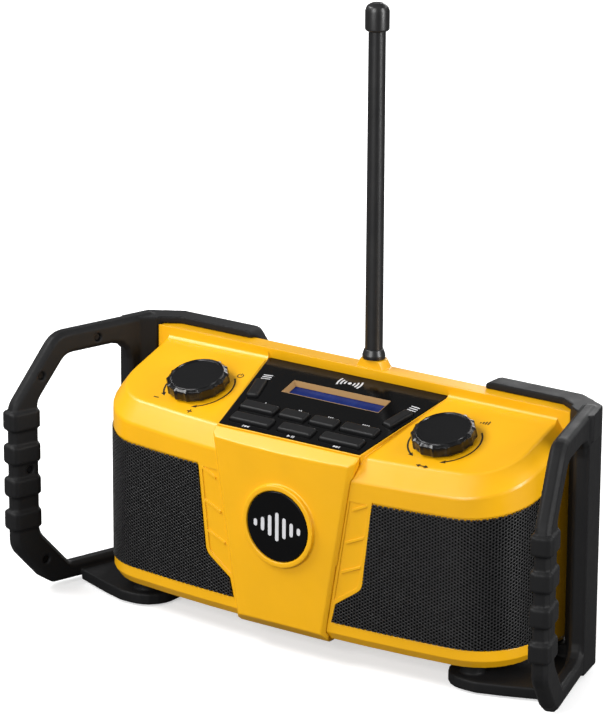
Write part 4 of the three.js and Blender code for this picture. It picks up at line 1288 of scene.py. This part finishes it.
def add_camera():
    back = direction_from(VIEW_AZIMUTH, VIEW_ELEVATION)
    level = Vector((math.cos(VIEW_AZIMUTH), math.sin(VIEW_AZIMUTH), 0))
    above = back.cross(level)
    right = level * math.cos(VIEW_ROLL) + above * math.sin(VIEW_ROLL)
    up = above * math.cos(VIEW_ROLL) - level * math.sin(VIEW_ROLL)
    place = TARGET + back * VIEW_DISTANCE - right * VIEW_SHIFT[0] - up * VIEW_SHIFT[1]
    data = bpy.data.cameras.new("camera")
    data.lens = LENS_MM
    camera = placed("camera", data)
    camera.matrix_world = frame_matrix(place, right, up, back)
    bpy.context.scene.camera = camera


def add_light(name, azimuth, elevation, distance, width, height, power):
    """A soft rectangular light that faces the radio."""
    data = bpy.data.lights.new(name, "AREA")
    data.shape = "RECTANGLE"
    data.size = width
    data.size_y = height
    data.energy = power
    light = placed(name, data)
    away = direction_from(math.radians(azimuth), math.radians(elevation))
    light.location = CENTRE + away * distance
    light.rotation_mode = "QUATERNION"
    light.rotation_quaternion = away.to_track_quat("Z", "Y")


def add_floor():
    """A wide floor whose camera-only glow is weaker near the radio, a painted pale grey shade round it that
    lets the real shadows show, and rises to white further out.
    """
    mesh = bpy.data.meshes.new("floor")
    corners = [(x, y, 0) for x, y in bar(FLOOR_SIZE, FLOOR_SIZE)]
    mesh.from_pydata(corners, [], [(0, 1, 2, 3)])
    s = Shader("floor")
    seen = s.node("ShaderNodeLightPath").outputs["Is Camera Ray"]
    away = s.node("ShaderNodeVectorMath", operation="LENGTH")
    s.tree.links.new(s.place, away.inputs[0])
    # Painted shade: the glow seen by the camera is halved within a quarter metre of the middle and reaches
    # full strength past 1.1 m.
    glow_with_painted_shade = s.ranged(away.outputs["Value"], 0.5, 1.0, 0.25, 1.1)
    s.set(
        Base_Color=s.mixed(seen, (0.15, 0.15, 0.15), (0.8, 0.8, 0.8)),
        Roughness=0.9,
        Specular_IOR_Level=0.05,
        Emission_Color=(1.0, 1.0, 1.0),
        Emission_Strength=s.math("MULTIPLY", seen, glow_with_painted_shade),
    )
    mesh.materials.append(s.material)
    placed("floor", mesh)


def add_world():
    """White to the camera, and a dimmer grey as light, so that black plastic stays black."""
    world = bpy.data.worlds.new("studio")
    bpy.context.scene.world = world
    world.use_nodes = True
    tree = world.node_tree
    tree.nodes.clear()
    output = tree.nodes.new("ShaderNodeOutputWorld")
    mix = tree.nodes.new("ShaderNodeMixShader")
    path = tree.nodes.new("ShaderNodeLightPath")
    tree.links.new(path.outputs["Is Camera Ray"], mix.inputs["Fac"])
    for socket, strength in ((1, 0.2), (2, 1.05)):
        sky = tree.nodes.new("ShaderNodeBackground")
        sky.inputs["Strength"].default_value = strength
        sky.inputs["Color"].default_value = (1, 1, 1, 1)
        tree.links.new(sky.outputs[0], mix.inputs[socket])
    tree.links.new(mix.outputs[0], output.inputs["Surface"])


add_camera()
add_floor()
add_world()
for name, values in LIGHTS.items():
    add_light(name, *values)

bpy.context.scene.view_settings.view_transform = "Standard"
